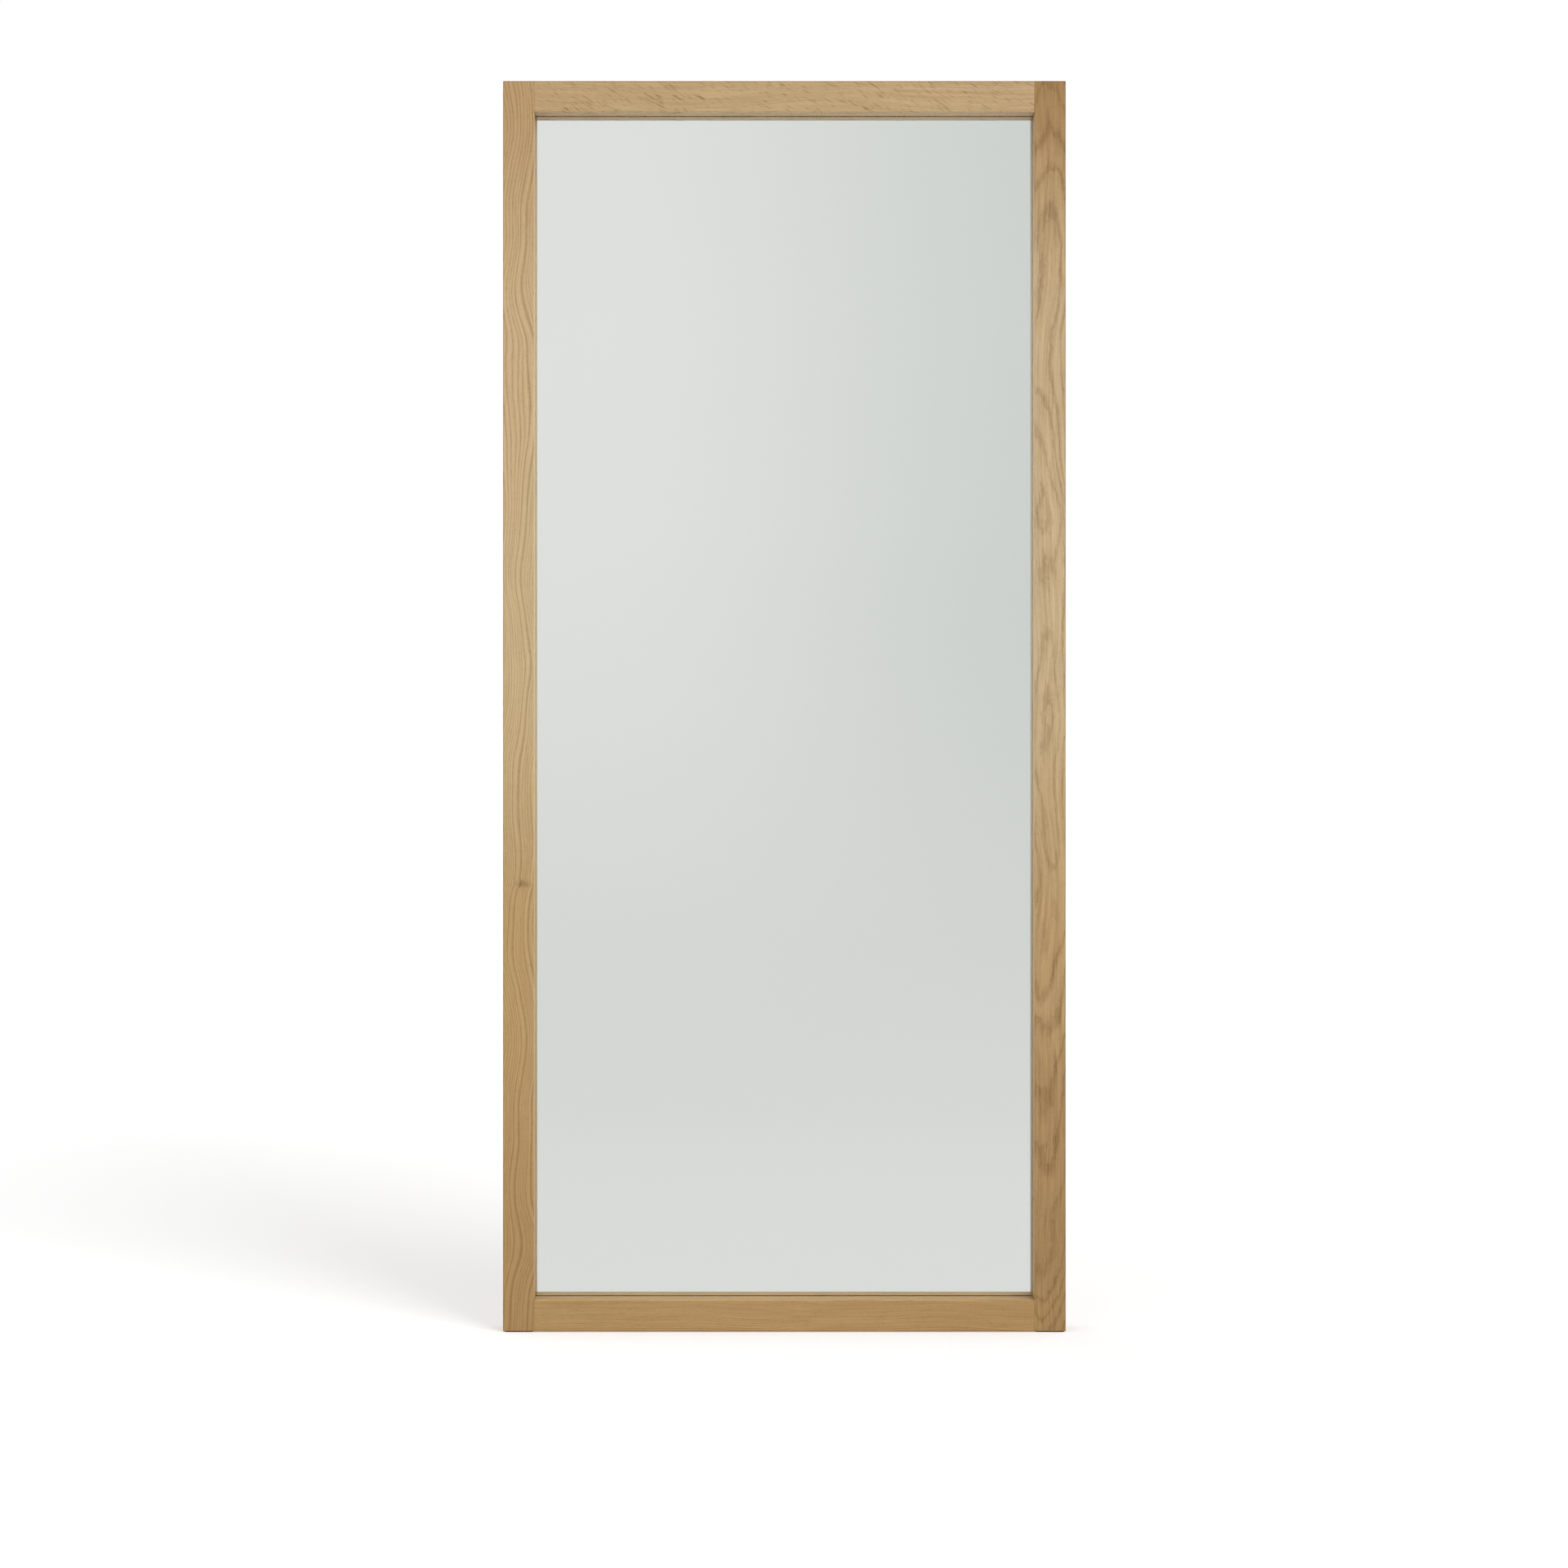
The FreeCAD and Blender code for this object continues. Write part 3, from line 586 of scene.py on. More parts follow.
@contextmanager
def shaping(piece: Piece) -> Iterator[None]:
    """Holds a piece in edit mode with nothing selected."""
    alone(piece)
    bpy.ops.object.mode_set(mode="EDIT")
    bpy.ops.mesh.select_all(action="DESELECT")
    yield
    bpy.ops.object.mode_set(mode="OBJECT")


@contextmanager
def picking(piece: Piece, kind: str) -> Iterator[bmesh.types.BMesh]:
    """Opens the mesh of a piece in edit mode, to select vertices, edges or faces afresh."""
    bpy.ops.mesh.select_mode(type=kind)
    bpy.ops.mesh.select_all(action="DESELECT")
    yield bmesh.from_edit_mesh(piece.data)
    bmesh.update_edit_mesh(piece.data)


def pick_faces(piece: Piece, wanted: Callable[[Vector], bool]) -> None:
    """Selects the faces whose normal answers a question."""
    with picking(piece, "FACE") as shape:
        for face in shape.faces:
            if wanted(face.normal):
                face.select_set(True)
        shape.select_flush(True)


def pick_edges(piece: Piece, wanted: Callable[[Vector, Vector], bool]) -> None:
    """Selects the edges whose two ends answer a question."""
    with picking(piece, "EDGE") as shape:
        for edge in shape.edges:
            if wanted(edge.verts[0].co, edge.verts[1].co):
                edge.select_set(True)


def pick_verts(piece: Piece, wanted: Callable[[Vector], bool]) -> None:
    """Selects the vertices whose place answers a question."""
    with picking(piece, "VERT") as shape:
        for vert in shape.verts:
            vert.select_set(wanted(vert.co))


def near(a: float, b: float) -> bool:
    """Whether two coordinates are the same place."""
    return abs(a - b) < SAME_PLACE


def settle(piece: Piece, name: str) -> Piece:
    """Names a new primitive and puts its place into its mesh."""
    piece.name = name
    piece.data.name = name
    alone(piece)
    bpy.ops.object.transform_apply(location=True, rotation=True, scale=True)
    return piece


def box(name: str, low: Vector, high: Vector) -> Piece:
    """Adds a box between two corners, its place in its mesh."""
    alone(None)
    bpy.ops.mesh.primitive_cube_add(size=1, location=(low + high) / 2, scale=high - low)
    return settle(bpy.context.object, name)


def rod(name: str, base: Vector, radius: float, height: float, vertices: int) -> Piece:
    """Adds a round bar that stands on its base and points along +Y."""
    alone(None)
    middle, turn = base + Vector((0, height / 2, 0)), (-math.pi / 2, 0, 0)
    bpy.ops.mesh.primitive_cylinder_add(
        vertices=vertices, radius=radius, depth=height, location=middle, rotation=turn
    )
    return settle(bpy.context.object, name)


def extrude(by: Triple) -> None:
    """Extrudes what is selected in a straight line."""
    bpy.ops.mesh.extrude_region_move(TRANSFORM_OT_translate={"value": by})


def cut_with(piece: Piece, cutter: Piece) -> None:
    """Takes a cutter's shape out of a piece and throws the cutter away."""
    alone(piece)
    carve = piece.modifiers.new("carve", "BOOLEAN")
    carve.operation = "DIFFERENCE"
    carve.object = cutter
    carve.solver = "EXACT"
    bpy.ops.object.modifier_apply(modifier=carve.name)
    bpy.data.objects.remove(cutter)


def soften(piece: Piece, width: float, segments: int, over: float = 35) -> None:
    """Rounds every sharp edge of a piece.

    Args:
        piece: the piece.
        width: the rounding's width.
        segments: the steps it is drawn in.
        over: degrees past which an edge counts as sharp.
    """
    alone(piece)
    easing = piece.modifiers.new("easing", "BEVEL")
    easing.width = width
    easing.segments = segments
    easing.limit_method = "ANGLE"
    easing.angle_limit = math.radians(over)
    bpy.ops.object.modifier_apply(modifier=easing.name)


def joined(made: list[Piece], name: str) -> Piece:
    """Joins pieces to one of that name."""
    alone(made[0])
    for piece in made:
        piece.select_set(True)
    bpy.ops.object.join()
    return settle(made[0], name)


def copies(model: Piece, places: list[Vector], name: str) -> Piece:
    """Copies a model to each place, joins the copies to one piece and removes the model.

    Args:
        model: the piece to copy, modelled about the origin.
        places: where its origin goes.
        name: the joined piece's name.

    Returns:
        The joined piece.
    """
    made = []
    for place in places:
        twin = model.copy()
        twin.data = model.data.copy()
        twin.location = place
        bpy.context.scene.collection.objects.link(twin)
        made.append(twin)
    bpy.data.objects.remove(model)
    return joined(made, name)


def dress(piece: Piece, *materials: Material) -> None:
    """Gives a piece its materials, in the order of its faces' material numbers."""
    piece.data.materials.clear()
    for material in materials:
        piece.data.materials.append(material)


def skin(piece: Piece, under: float, material: Material) -> None:
    """Gives a piece its material, shaded smooth wherever it bends less than this many degrees."""
    alone(piece)
    bpy.ops.object.shade_smooth_by_angle(angle=math.radians(under))
    dress(piece, material)


def hand_over(piece: Piece, body: str, node: str) -> None:
    """Puts a finished piece on its body, in place of the CAD node it stands for.

    Args:
        piece: the finished piece.
        body: the CAD body that it rides on.
        node: the node that it replaces.
    """
    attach(piece, body)
    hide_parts(node)
    log.info("%s: %d faces on %s", piece.name, len(piece.data.polygons), body)


def parts_of(node: str) -> list[tuple[Vector, Vector]]:
    """The boxes of a CAD node's loose parts.

    Args:
        node: the CAD node.

    Returns:
        The lowest and highest corner of each part, from left to right and bottom to top.
    """
    shape = bmesh.new()
    shape.from_mesh(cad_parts[node].data)
    bmesh.ops.remove_doubles(shape, verts=shape.verts, dist=0.01 * MM)
    left, boxes = set(shape.verts), []
    while left:
        stack = [left.pop()]
        group = list(stack)
        while stack:
            for edge in stack.pop().link_edges:
                for vert in edge.verts:
                    if vert in left:
                        left.remove(vert)
                        stack.append(vert)
                        group.append(vert)
        corners = [[pick(v.co[i] for v in group) for i in range(3)] for pick in (min, max)]
        boxes.append((Vector(corners[0]), Vector(corners[1])))
    shape.free()
    return sorted(boxes, key=lambda pair: (round(pair[0].x, 4), round(pair[0].z, 4)))


# ------ the oak frame
@dataclass
class OakFrame:
    """Two stiles and two rails, each board from its own place in its log, and the loose tenons."""

    # the tones along the boards are partly painted light and shade: each stile palest past its middle and
    # darker at both ends, the bottom rail darker than the top
    boards: tuple[OakBoard, ...] = (
        OakBoard(
            "left_stile",
            pith=(115, 95),
            runout=(0.6, 0.9),
            ring=3.9,
            wander=(120, 80),
            tones_and_shading=((0.0, "A27F4F"), (0.3, "B0905F"), (0.55, "C0A67C"), (0.8, "BFA37A"), (1.0, "B08F62")),
            contrast=0.88,
            streaks=0.7,
            knot=(7, -20, -284),
            seed=3.1,
        ),
        OakBoard(
            "right_stile",
            pith=(-9, 62),
            runout=(0.2, 0.2),
            ring=3.4,
            wander=(45, 18),
            tones_and_shading=(
                *((0.0, "997848"), (0.15, "9D7C4E"), (0.3, "AC8C5E")),
                *((0.55, "BCA37B"), (0.8, "B99F77"), (1.0, "9D7A4C")),
            ),
            contrast=0.78,
            streaks=1.7,
            bow=-24.0,
            figure=8.0,
            seed=8.4,
        ),
        OakBoard(
            "top_rail",
            pith=(95, -26),
            runout=(1.6, 0.3),
            ring=2.1,
            wander=(30, 20),
            tones_and_shading=((0.0, "B7996E"), (0.5, "BA9D71"), (1.0, "BB9D74")),
            lay=Lay.ACROSS,
            contrast=0.5,
            fleck=0.48,
            slant=-30.0,
            seed=5.7,
        ),
        OakBoard(
            "bottom_rail",
            pith=(70, 60),
            runout=(0.3, -0.3),
            ring=1.9,
            wander=(30, 20),
            tones_and_shading=((0.0, "A98755"), (0.5, "AC8957"), (1.0, "A88553")),
            lay=Lay.ACROSS,
            contrast=0.6,
            seed=1.9,
        ),
    )
    # pinkish brown and dead matt, with a fine straight fibre along each tenon
    beech: Mottled = Mottled(
        "steamed_beech_tenon", "B98A63", "CDA37C", grain=0.8, stretch=(0.05, 1, 1), gloss=(0.55, 0.65)
    )

    def build(self) -> None:
        """Dresses the four boards and the four tenons."""
        for board in self.boards:
            dress(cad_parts[board.node], board.material())
            log.info("%s dressed", board.node)
        wood = self.beech.material()
        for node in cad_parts:
            if node.endswith("_tenon"):
                dress(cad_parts[node], wood)


# ------ the mirror
@dataclass
class MirrorPane:
    """The glass, its silver, and the blocks, spacers and foam strips that hold them."""

    corner: float = 4 * MM
    arris: float = 0.5 * MM
    contact: float = 0.05 * MM  # so that the glass and the oak don't share a plane
    silver_bite: float = 0.02 * MM  # so that light in the glass meets the silver first
    block_easing: float = 0.35 * MM
    strip_bulge: float = 0.32 * MM
    # off-white without any shine, and small cells that break up the light
    foam: Mottled = Mottled(
        "closed_cell_foam_tape", "D8D6CF", "F0EFEA", grain=0.35, gloss=(0.8, 0.95), relief=0.1, strength=0.6
    )
    # flat and even grey, with the faint texture of a roller
    paint: Mottled = Mottled(
        "mirror_backing_paint", "6D7370", "7A807C", grain=1.5, gloss=(0.35, 0.45), relief=0.02
    )

    def build(self) -> None:
        """Builds the pane and everything that touches it inside the rebate."""
        self.glass()
        self.silver()
        rubber = RUBBER.material()
        for node in ("setting_blocks", "edge_spacers"):
            self.blocks(node, rubber)
        self.strips()

    def rounded_sheet(self, name: str, low: Vector, high: Vector) -> Piece:
        """Adds a sheet whose four corners are rounded.

        Args:
            name: the piece's name.
            low: its lowest corner.
            high: its highest corner.

        Returns:
            The sheet.
        """
        piece = box(name, low, high)
        with shaping(piece):
            pick_edges(piece, lambda a, b: near(a.x, b.x) and near(a.z, b.z))
            bpy.ops.mesh.bevel(offset=self.corner, segments=8, affect="EDGES")
        return piece

    def glass(self) -> None:
        """The pane: rounded corners and a ground arris all round."""
        low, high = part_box("mirror_glass")
        low = low + Vector((0, self.contact, 0))
        piece = self.rounded_sheet("glass_pane", low, high)
        soften(piece, self.arris, segments=1, over=60)
        dress(piece, FloatGlass().material(low, high))
        hand_over(piece, BODY, "mirror_glass")

    def silver(self) -> None:
        """The silver, with its backing paint on the rear face."""
        low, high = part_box("silver_backing")
        inset = Vector((self.arris, 0, self.arris))
        low, high = low + inset - Vector((0, self.silver_bite, 0)), high - inset
        piece = self.rounded_sheet("silver_coat", low, high)
        dress(piece, SilverCoat().material(), self.paint.material())
        for face in piece.data.polygons:
            face.material_index = 0 if face.normal.y < -0.5 else 1
        hand_over(piece, BODY, "silver_backing")

    def blocks(self, node: str, rubber: Material) -> None:
        """Rubber blocks: one for each loose part of the CAD node, edges rounded as moulded.

        Args:
            node: the CAD node whose parts they stand for.
            rubber: their material.
        """
        made = [box(f"{node}_{i}", low, high) for i, (low, high) in enumerate(parts_of(node))]
        piece = joined(made, f"rubber_{node}")
        soften(piece, self.block_easing, segments=2)
        skin(piece, 40, rubber)
        hand_over(piece, BODY, node)

    def strips(self) -> None:
        """Foam tape: strips whose sides bulge a little where the board presses on them."""
        made = []
        for low, high in parts_of("foam_tape_strips"):
            strip = box(f"strip_{len(made)}", low, high)
            with shaping(strip):
                pick_edges(strip, lambda a, b: near(a.x, b.x) and near(a.y, b.y))
                bpy.ops.mesh.bevel(offset=self.strip_bulge, segments=3, affect="EDGES")
            made.append(strip)
        piece = joined(made, "foam_tape")
        skin(piece, 40, self.foam.material())
        hand_over(piece, BODY, "foam_tape_strips")


# ------ the back and its screws
@dataclass
class Screws:
    """Pan-head wood screws with a cross recess: one model, copied to each place of a CAD node."""

    node: str
    name: str
    head_height: float = 2.2 * MM
    shank: float = 3.5 * MM
    sides: int = 32
    crown: float = 0.55  # the rounding of the head, as a share of its height
    recess: float = 0.62  # of the head's width, and of its height
    recess_taper: float = 0.55
    blade: float = 0.9 * MM
    point: float = 1.1  # the point's length, in widths of the shank
    tip: float = 0.12

    def build(self, steel: Material) -> None:
        """Models one screw and copies it to each place.

        Args:
            steel: its material.
        """
        boxes = parts_of(self.node)
        low, high = boxes[0]
        screw = self.model((high.x - low.x) / 2, high.y - low.y)
        places = [Vector(((a.x + b.x) / 2, b.y, (a.z + b.z) / 2)) for a, b in boxes]
        piece = copies(screw, places, self.name)
        skin(piece, 35, steel)
        hand_over(piece, BODY, self.node)

    def model(self, radius: float, length: float) -> Piece:
        """Models a screw whose head's top is at the origin and faces +Y.

        Args:
            radius: of the head.
            length: over head and point.

        Returns:
            The screw.
        """
        height, point = self.head_height, self.shank * self.point
        piece = rod("screw", Vector((0, -height, 0)), radius, height, self.sides)
        with shaping(piece):
            # the head's crown
            pick_edges(piece, lambda a, b: near(a.y, 0) and near(b.y, 0))
            bpy.ops.mesh.bevel(offset=height * self.crown, segments=5, affect="EDGES")
            # the shank and its point
            pick_faces(piece, lambda normal: normal.y < -0.9)
            bpy.ops.mesh.inset(thickness=radius - self.shank / 2)
            extrude((0, height + point - length, 0))
            extrude((0, -point, 0))
            bpy.ops.transform.resize(value=(self.tip, 1, self.tip))
        blade = Vector((radius * self.recess, height * self.recess, self.blade / 2))
        for half in (blade, Vector((blade.z, blade.y, blade.x))):
            cutter = box("blade", -half, half)
            with shaping(cutter):
                pick_faces(cutter, lambda normal: normal.y < -0.9)
                bpy.ops.transform.resize(value=(self.recess_taper, 1, self.recess_taper))
            cut_with(piece, cutter)
        return piece


@dataclass
class Back:
    """The board that closes the back, and all the screws."""

    # mid brown with a dull sheen, and faint clouds of tone a few hands wide
    board: Mottled = Mottled(
        "hardboard_smooth_face", "84633F", "9E7C55", 0.7, detail=5.0, gloss=(0.45, 0.6), relief=0.02,
        strength=0.2, patch=420,
    )
    # pale and cool, with soft, slightly blurred lights
    zinc: Mottled = Mottled(
        "zinc_plated_steel", "B4B7B9", "D5D7D8", 0.25, gloss=(0.24, 0.4), relief=0.01, metallic=1.0, patch=4
    )

    def build(self) -> None:
        """Dresses the board and models its screws, the hangers' and the bumpers'."""
        dress(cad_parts["backing_board"], self.board.material())
        zinc = self.zinc.material()
        Screws("board_screws", "board_rim_screws").build(zinc)
        for node, name in (("hanger_screws", "strap_screws"), ("bumper_screws", "bumper_fixing_screws")):
            Screws(node, name, head_height=2.0 * MM, shank=3.6 * MM).build(zinc)


# ------ hangers
@dataclass
class Hanger:
    """A steel strap that curls over the bar of a D-shaped ring; the ring swings about that bar."""

    side: Side
    wire: float = 3.2 * MM
    half_width: float = 10.5 * MM
    corner: float = 3.5 * MM
    wire_sides: int = 20
    corner_steps: int = 8
    bow_steps: int = 28

    def build(self, steel: Material) -> None:
        """Dresses the strap and models the ring: a wire circle pushed round its outline.

        Args:
            steel: the plated finish of both.
        """
        dress(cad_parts[f"{self.side.value}_hanger_strap"], steel)
        node = f"{self.side.value}_hanger_ring"
        low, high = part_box(node)
        bar = Vector(((low.x + high.x) / 2, (low.y + high.y) / 2, high.z - self.wire / 2))
        half_bar = self.half_width - self.corner
        waist = low.z + self.wire / 2 + self.half_width
        straight = bar.z - self.corner - waist
        alone(None)
        bpy.ops.mesh.primitive_circle_add(
            vertices=self.wire_sides, radius=self.wire / 2, location=bar, rotation=(0, math.pi / 2, 0)
        )
        piece = settle(bpy.context.object, f"{self.side.value}_d_ring")
        with shaping(piece):
            bpy.ops.mesh.select_all(action="SELECT")
            extrude((half_bar, 0, 0))
            self.bend(bar + Vector((half_bar, 0, -self.corner)), 90, self.corner_steps)
            extrude((0, 0, -straight))
            self.bend(Vector((bar.x, bar.y, waist)), 180, self.bow_steps)
            extrude((0, 0, straight))
            self.bend(bar + Vector((-half_bar, 0, -self.corner)), 90, self.corner_steps)
            extrude((half_bar, 0, 0))
            bpy.ops.mesh.select_all(action="SELECT")
            bpy.ops.mesh.remove_doubles(threshold=0.01 * MM)
            bpy.ops.mesh.normals_make_consistent(inside=False)
        skin(piece, 60, steel)
        hand_over(piece, f"{self.side.value}_ring", node)

    @staticmethod
    def bend(centre: Vector, degrees: float, steps: int) -> None:
        """Extrudes the selected circle round a bend about a Y axis."""
        bpy.ops.mesh.spin(steps=steps, angle=-math.radians(degrees), center=centre, axis=(0, 1, 0))


# ------ pads and bumpers
@dataclass
class FloorPad:
    """A felt pad under a stile's end: pressed wool felt, cut with rounded corners."""

    side: Side
    corner: float = 3 * MM
    rim: float = 0.5 * MM
    fray: float = 0.06 * MM

    def build(self, felt: Material) -> None:
        """Models the pad.

        Args:
            felt: its material.
        """
        node = f"{self.side.value}_floor_pad"
        low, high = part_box(node)
        margin = Vector((1, 1, 0)) * self.fray * 2
        piece = box(f"{self.side.value}_felt_pad", low + margin, high - margin)
        with shaping(piece):
            pick_edges(piece, lambda a, b: near(a.x, b.x) and near(a.y, b.y))
            bpy.ops.mesh.bevel(offset=self.corner, segments=6, affect="EDGES")
            pick_faces(piece, lambda normal: normal.z < -0.9)
            bpy.ops.mesh.inset(thickness=self.rim)
            bpy.ops.mesh.select_all(action="SELECT")
            bpy.ops.mesh.subdivide(number_cuts=2)
            # only the cut sides fray: the two faces stay flat
            pick_verts(piece, lambda at: low.z + self.fray < at.z < high.z - self.fray)
            bpy.ops.transform.vertex_random(offset=self.fray, seed=4)
        skin(piece, 50, felt)
        hand_over(piece, BODY, node)


@dataclass
class WallBumper:
    """A round rubber bumper at the top of a stile's back."""

    side: Side
    rim: float = 1.9 * MM
    recess: float = 4.5 * MM
    recess_rim: float = 0.5 * MM
    web: float = 3 * MM
    sides: int = 56

    def build(self, rubber: Material) -> None:
        """Models the bumper: a moulded puck with a recess for its screw.

        Args:
            rubber: its material.
        """
        node = f"{self.side.value}_wall_bumper"
        low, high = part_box(node)
        radius, height = (high.x - low.x) / 2, high.y - low.y
        base = Vector(((low.x + high.x) / 2, low.y, (low.z + high.z) / 2))

        def on_tip(points: tuple[Vector, Vector], at: float) -> bool:
            """Whether an edge lies on the bumper's tip, that far from its axis."""
            return all(near(p.y, high.y) and near(math.hypot(p.x - base.x, p.z - base.z), at) for p in points)

        piece = rod(f"{self.side.value}_rubber_bumper", base, radius, height, self.sides)
        with shaping(piece):
            pick_faces(piece, lambda normal: normal.y > 0.9)
            bpy.ops.mesh.inset(thickness=radius - self.recess)
            extrude((0, self.web - height, 0))
            pick_edges(piece, lambda *ends: on_tip(ends, radius))
            bpy.ops.mesh.bevel(offset=self.rim, segments=6, affect="EDGES")
            pick_edges(piece, lambda *ends: on_tip(ends, self.recess))
            bpy.ops.mesh.bevel(offset=self.recess_rim, segments=3, affect="EDGES")
        skin(piece, 50, rubber)
        hand_over(piece, BODY, node)


# ------ the studio
@dataclass
class Studio:
    """A pale floor, one broad soft light from the front right, and a bright even room."""

    camera_at: Pair = (-0.0646, 1.0076)  # across and up, in front of the mirror
    distance: float = 3.25
    pixels_per_metre: float = 765.7  # the scale of the frame's front face
    pixels: int = 1920
    optical_axis: Pair = (911.0, 860.0)  # where it meets the 1920 x 1920 picture
    sensor: float = 36
    sight: float = 200.0
    key_direction: Triple = (0.64, -0.48, 0.60)
    key_strength: float = 1.5
    key_breadth: float = 34.0  # degrees across
    floor_size: float = 120.0
    floor_bounce: float = 0.72
    floor_matt: float = 0.725  # what the camera sees of the light and shadow on the floor
    floor_glow: float = 0.257  # and the white under it
    room_front: float = 0.42
    room_left: float = 2.2  # added to it towards each side
    room_right: float = 1.2
    room_thrown: float = 2.6
    room_height: float = 0.3  # how far below and above eye level room_levels reach
    # what the mirror sees, from bottom to top
    room_levels: tuple[Pair, ...] = (
        *((0.05, 0.781), (0.12, 0.775), (0.17, 0.750), (0.23, 0.740), (0.30, 0.743)),
        *((0.40, 0.768), (0.50, 0.794), (0.65, 0.816), (0.80, 0.820), (0.95, 0.813)),
    )
    # it fades towards its right, above the floor
    fade_across: Pair = (-0.07, 0.19)
    fade_up: Pair = (-0.20, 0.07)
    fade_tints: tuple[Colour, Colour] = ((1.015, 1.0, 1.005, 1), (0.838, 0.845, 0.845, 1))
    ahead: Pair = (-0.35, 0.15)  # where it gives way to plain white, from front to back

    def build(self) -> None:
        """Sets up the floor, the light, the room and the camera."""
        self.floor()
        self.key()
        self.room()
        self.camera()
        bpy.context.scene.view_settings.view_transform = "Standard"

    def camera(self) -> None:
        """A camera square to the mirror, shifted so that the frame sits where the photograph has it."""
        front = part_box("left_stile")[0].y
        data = bpy.data.cameras.new("camera")
        data.sensor_width = self.sensor
        data.lens = self.sensor * self.distance * self.pixels_per_metre / self.pixels
        centre = self.pixels / 2
        data.shift_x = (centre - self.optical_axis[0]) / self.pixels
        data.shift_y = (self.optical_axis[1] - centre) / self.pixels
        data.clip_end = self.sight
        eye = bpy.data.objects.new("camera", data)
        eye.location = (self.camera_at[0], front - self.distance, self.camera_at[1])
        eye.rotation_euler = (math.pi / 2, 0, 0)
        bpy.context.scene.collection.objects.link(eye)
        bpy.context.scene.camera = eye

    def key(self) -> None:
        """The one light with a direction: broad, so that its shadow is soft."""
        data = bpy.data.lights.new("key", "SUN")
        data.energy = self.key_strength
        data.angle = math.radians(self.key_breadth)
        lamp = bpy.data.objects.new("key", data)
        # no round glare of it in the mirror, and none thrown back from the mirror on the recess
        lamp.visible_glossy = False
        lamp.visible_transmission = False
        lamp.rotation_mode = "QUATERNION"
        lamp.rotation_quaternion = Vector(self.key_direction).to_track_quat("Z", "Y")
        bpy.context.scene.collection.objects.link(lamp)

    @staticmethod
    def glanced(tree: Tree, path: Node) -> Node:
        """Whether a ray comes from a mirror, from metal or through the glass."""
        ways = (path.outputs["Is Glossy Ray"], path.outputs["Is Transmission Ray"])
        return add(tree, "Math", ways, operation="MAXIMUM")

    def floor(self) -> None:
        """A plain floor: paper white with a soft shadow to the camera, pale grey to what it lights."""
        alone(None)
        bpy.ops.mesh.primitive_plane_add(size=self.floor_size, location=(0, 0, 0))
        plane = bpy.context.object
        plane.name = "floor"
        material = bpy.data.materials.new("studio_floor")
        material.use_nodes = True
        tree = material.node_tree
        tree.nodes.clear()
        path = add(tree, "LightPath")
        seen = path.outputs["Is Camera Ray"]
        tone = add(tree, "Mix", {0: seen, 6: grey(self.floor_bounce), 7: grey(self.floor_matt)}, **COLOUR)
        matt = add(tree, "BsdfDiffuse", (tone,))
        glow = add(tree, "Math", (seen, self.floor_glow), operation="MULTIPLY")
        both = add(tree, "AddShader", (matt, add(tree, "Emission", (grey(1.0), glow))))
        # in the glass and in metal the room's own lower half shows in its place
        clear = add(tree, "BsdfTransparent")
        surface = add(tree, "MixShader", (self.glanced(tree, path), both, clear))
        add(tree, "OutputMaterial", (surface,))
        dress(plane, material)

    def room(self) -> None:
        """An even white room, a little greyer and greener in front, where the mirror looks."""
        world = bpy.data.worlds.new("studio")
        bpy.context.scene.world = world
        world.use_nodes = True
        tree = world.node_tree
        tree.nodes.clear()
        path = add(tree, "LightPath")
        place = add(tree, "TexCoord").outputs["Generated"]
        x, y, z = add(tree, "SeparateXYZ", (place,)).outputs
        # what the mirror looks at: even and pale, a little darker below eye level and to the right
        height = add(tree, "MapRange", (z, -self.room_height, self.room_height))
        wall = add(tree, "ValToRGB", (height,), stops=[(at, grey(level)) for at, level in self.room_levels])
        across = add(tree, "MapRange", (x, *self.fade_across), **SOFT)
        up = add(tree, "MapRange", (z, *self.fade_up), **SOFT)
        corner = add(tree, "Math", (across, up), operation="MULTIPLY")
        fade = add(tree, "Mix", {0: corner, 6: self.fade_tints[0], 7: self.fade_tints[1]}, **COLOUR)
        front = add(tree, "Mix", {0: 1.0, 6: wall, 7: fade}, blend_type="MULTIPLY", **COLOUR)
        behind = add(tree, "MapRange", (y, *self.ahead), **SOFT)
        seen = add(tree, "Mix", {0: behind, 6: front, 7: grey(1.0)}, **COLOUR)
        # the light that the room gives: more from its two sides, which reach into the recess
        on_right = add(tree, "Math", (x, 0.0), operation="GREATER_THAN")
        side = add(tree, "Mix", {0: on_right, 2: self.room_left, 3: self.room_right})
        squared = add(tree, "Math", (x, x), operation="MULTIPLY")
        even = add(tree, "Math", (squared, side, self.room_front), operation="MULTIPLY_ADD")
        # what the mirror throws back on the recess and the floor in front is brighter than what it shows
        thrown = add(tree, "MapRange", (path.outputs["Diffuse Depth"], 0.4, 0.6, 1.0, self.room_thrown))
        sent = add(tree, "VectorMath", {0: seen, "Scale": thrown}, operation="SCALE")
        lit = add(tree, "Mix", {0: self.glanced(tree, path), 6: even, 7: sent}, **COLOUR)
        shown = add(tree, "Mix", {0: path.outputs["Is Camera Ray"], 6: lit, 7: grey(1.0)}, **COLOUR)
        add(tree, "OutputWorld", (add(tree, "Background", (shown, 1.0)),))


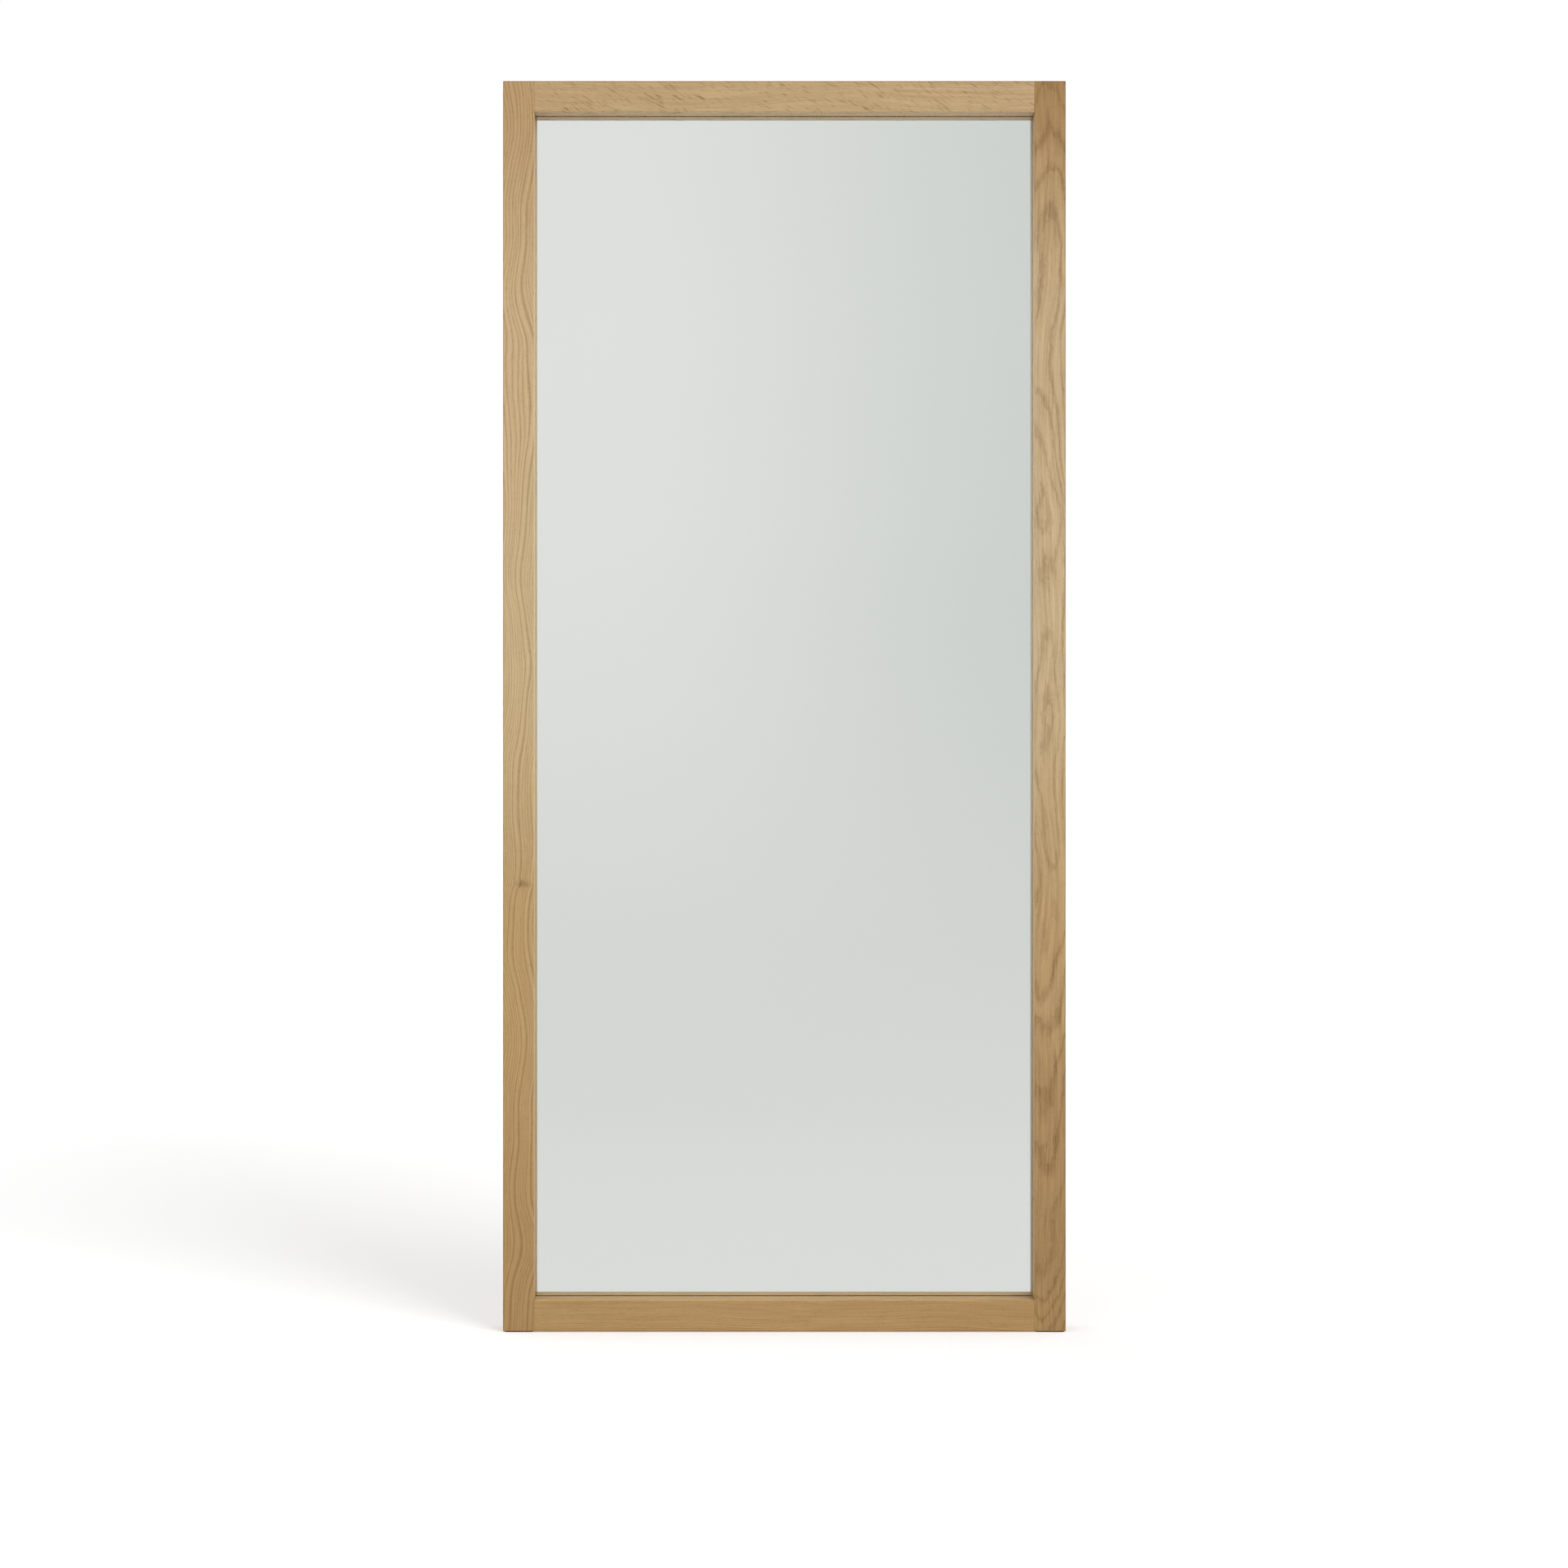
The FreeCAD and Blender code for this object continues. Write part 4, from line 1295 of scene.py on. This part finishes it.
def main() -> None:
    """Builds the studio and each sub-assembly in order."""
    logging.basicConfig(level=logging.INFO, format="%(name)s %(message)s")
    OakFrame().build()
    MirrorPane().build()
    Back().build()
    # warmer and glossier than the zinc, so that the rings stand out from the screws
    shine = {"grain": 0.3, "gloss": (0.16, 0.26), "relief": 0.01, "metallic": 1.0, "patch": 6}
    plated = Mottled("bright_nickel_plated_steel", "B9B7B0", "CFCDC6", **shine).material()
    # dark grey and soft, with stray fibres that catch the light at a glance
    fuzz = {"grain": 0.4, "gloss": (0.9, 1.0), "relief": 0.2, "strength": 0.8, "sheen": 0.4}
    felt = Mottled("pressed_wool_felt", "4B4742", "625D56", **fuzz).material()
    rubber = RUBBER.material()
    for side in Side:
        Hanger(side).build(plated)
        FloorPad(side).build(felt)
        WallBumper(side).build(rubber)
    Studio().build()


if __name__ == "__main__":
    main()
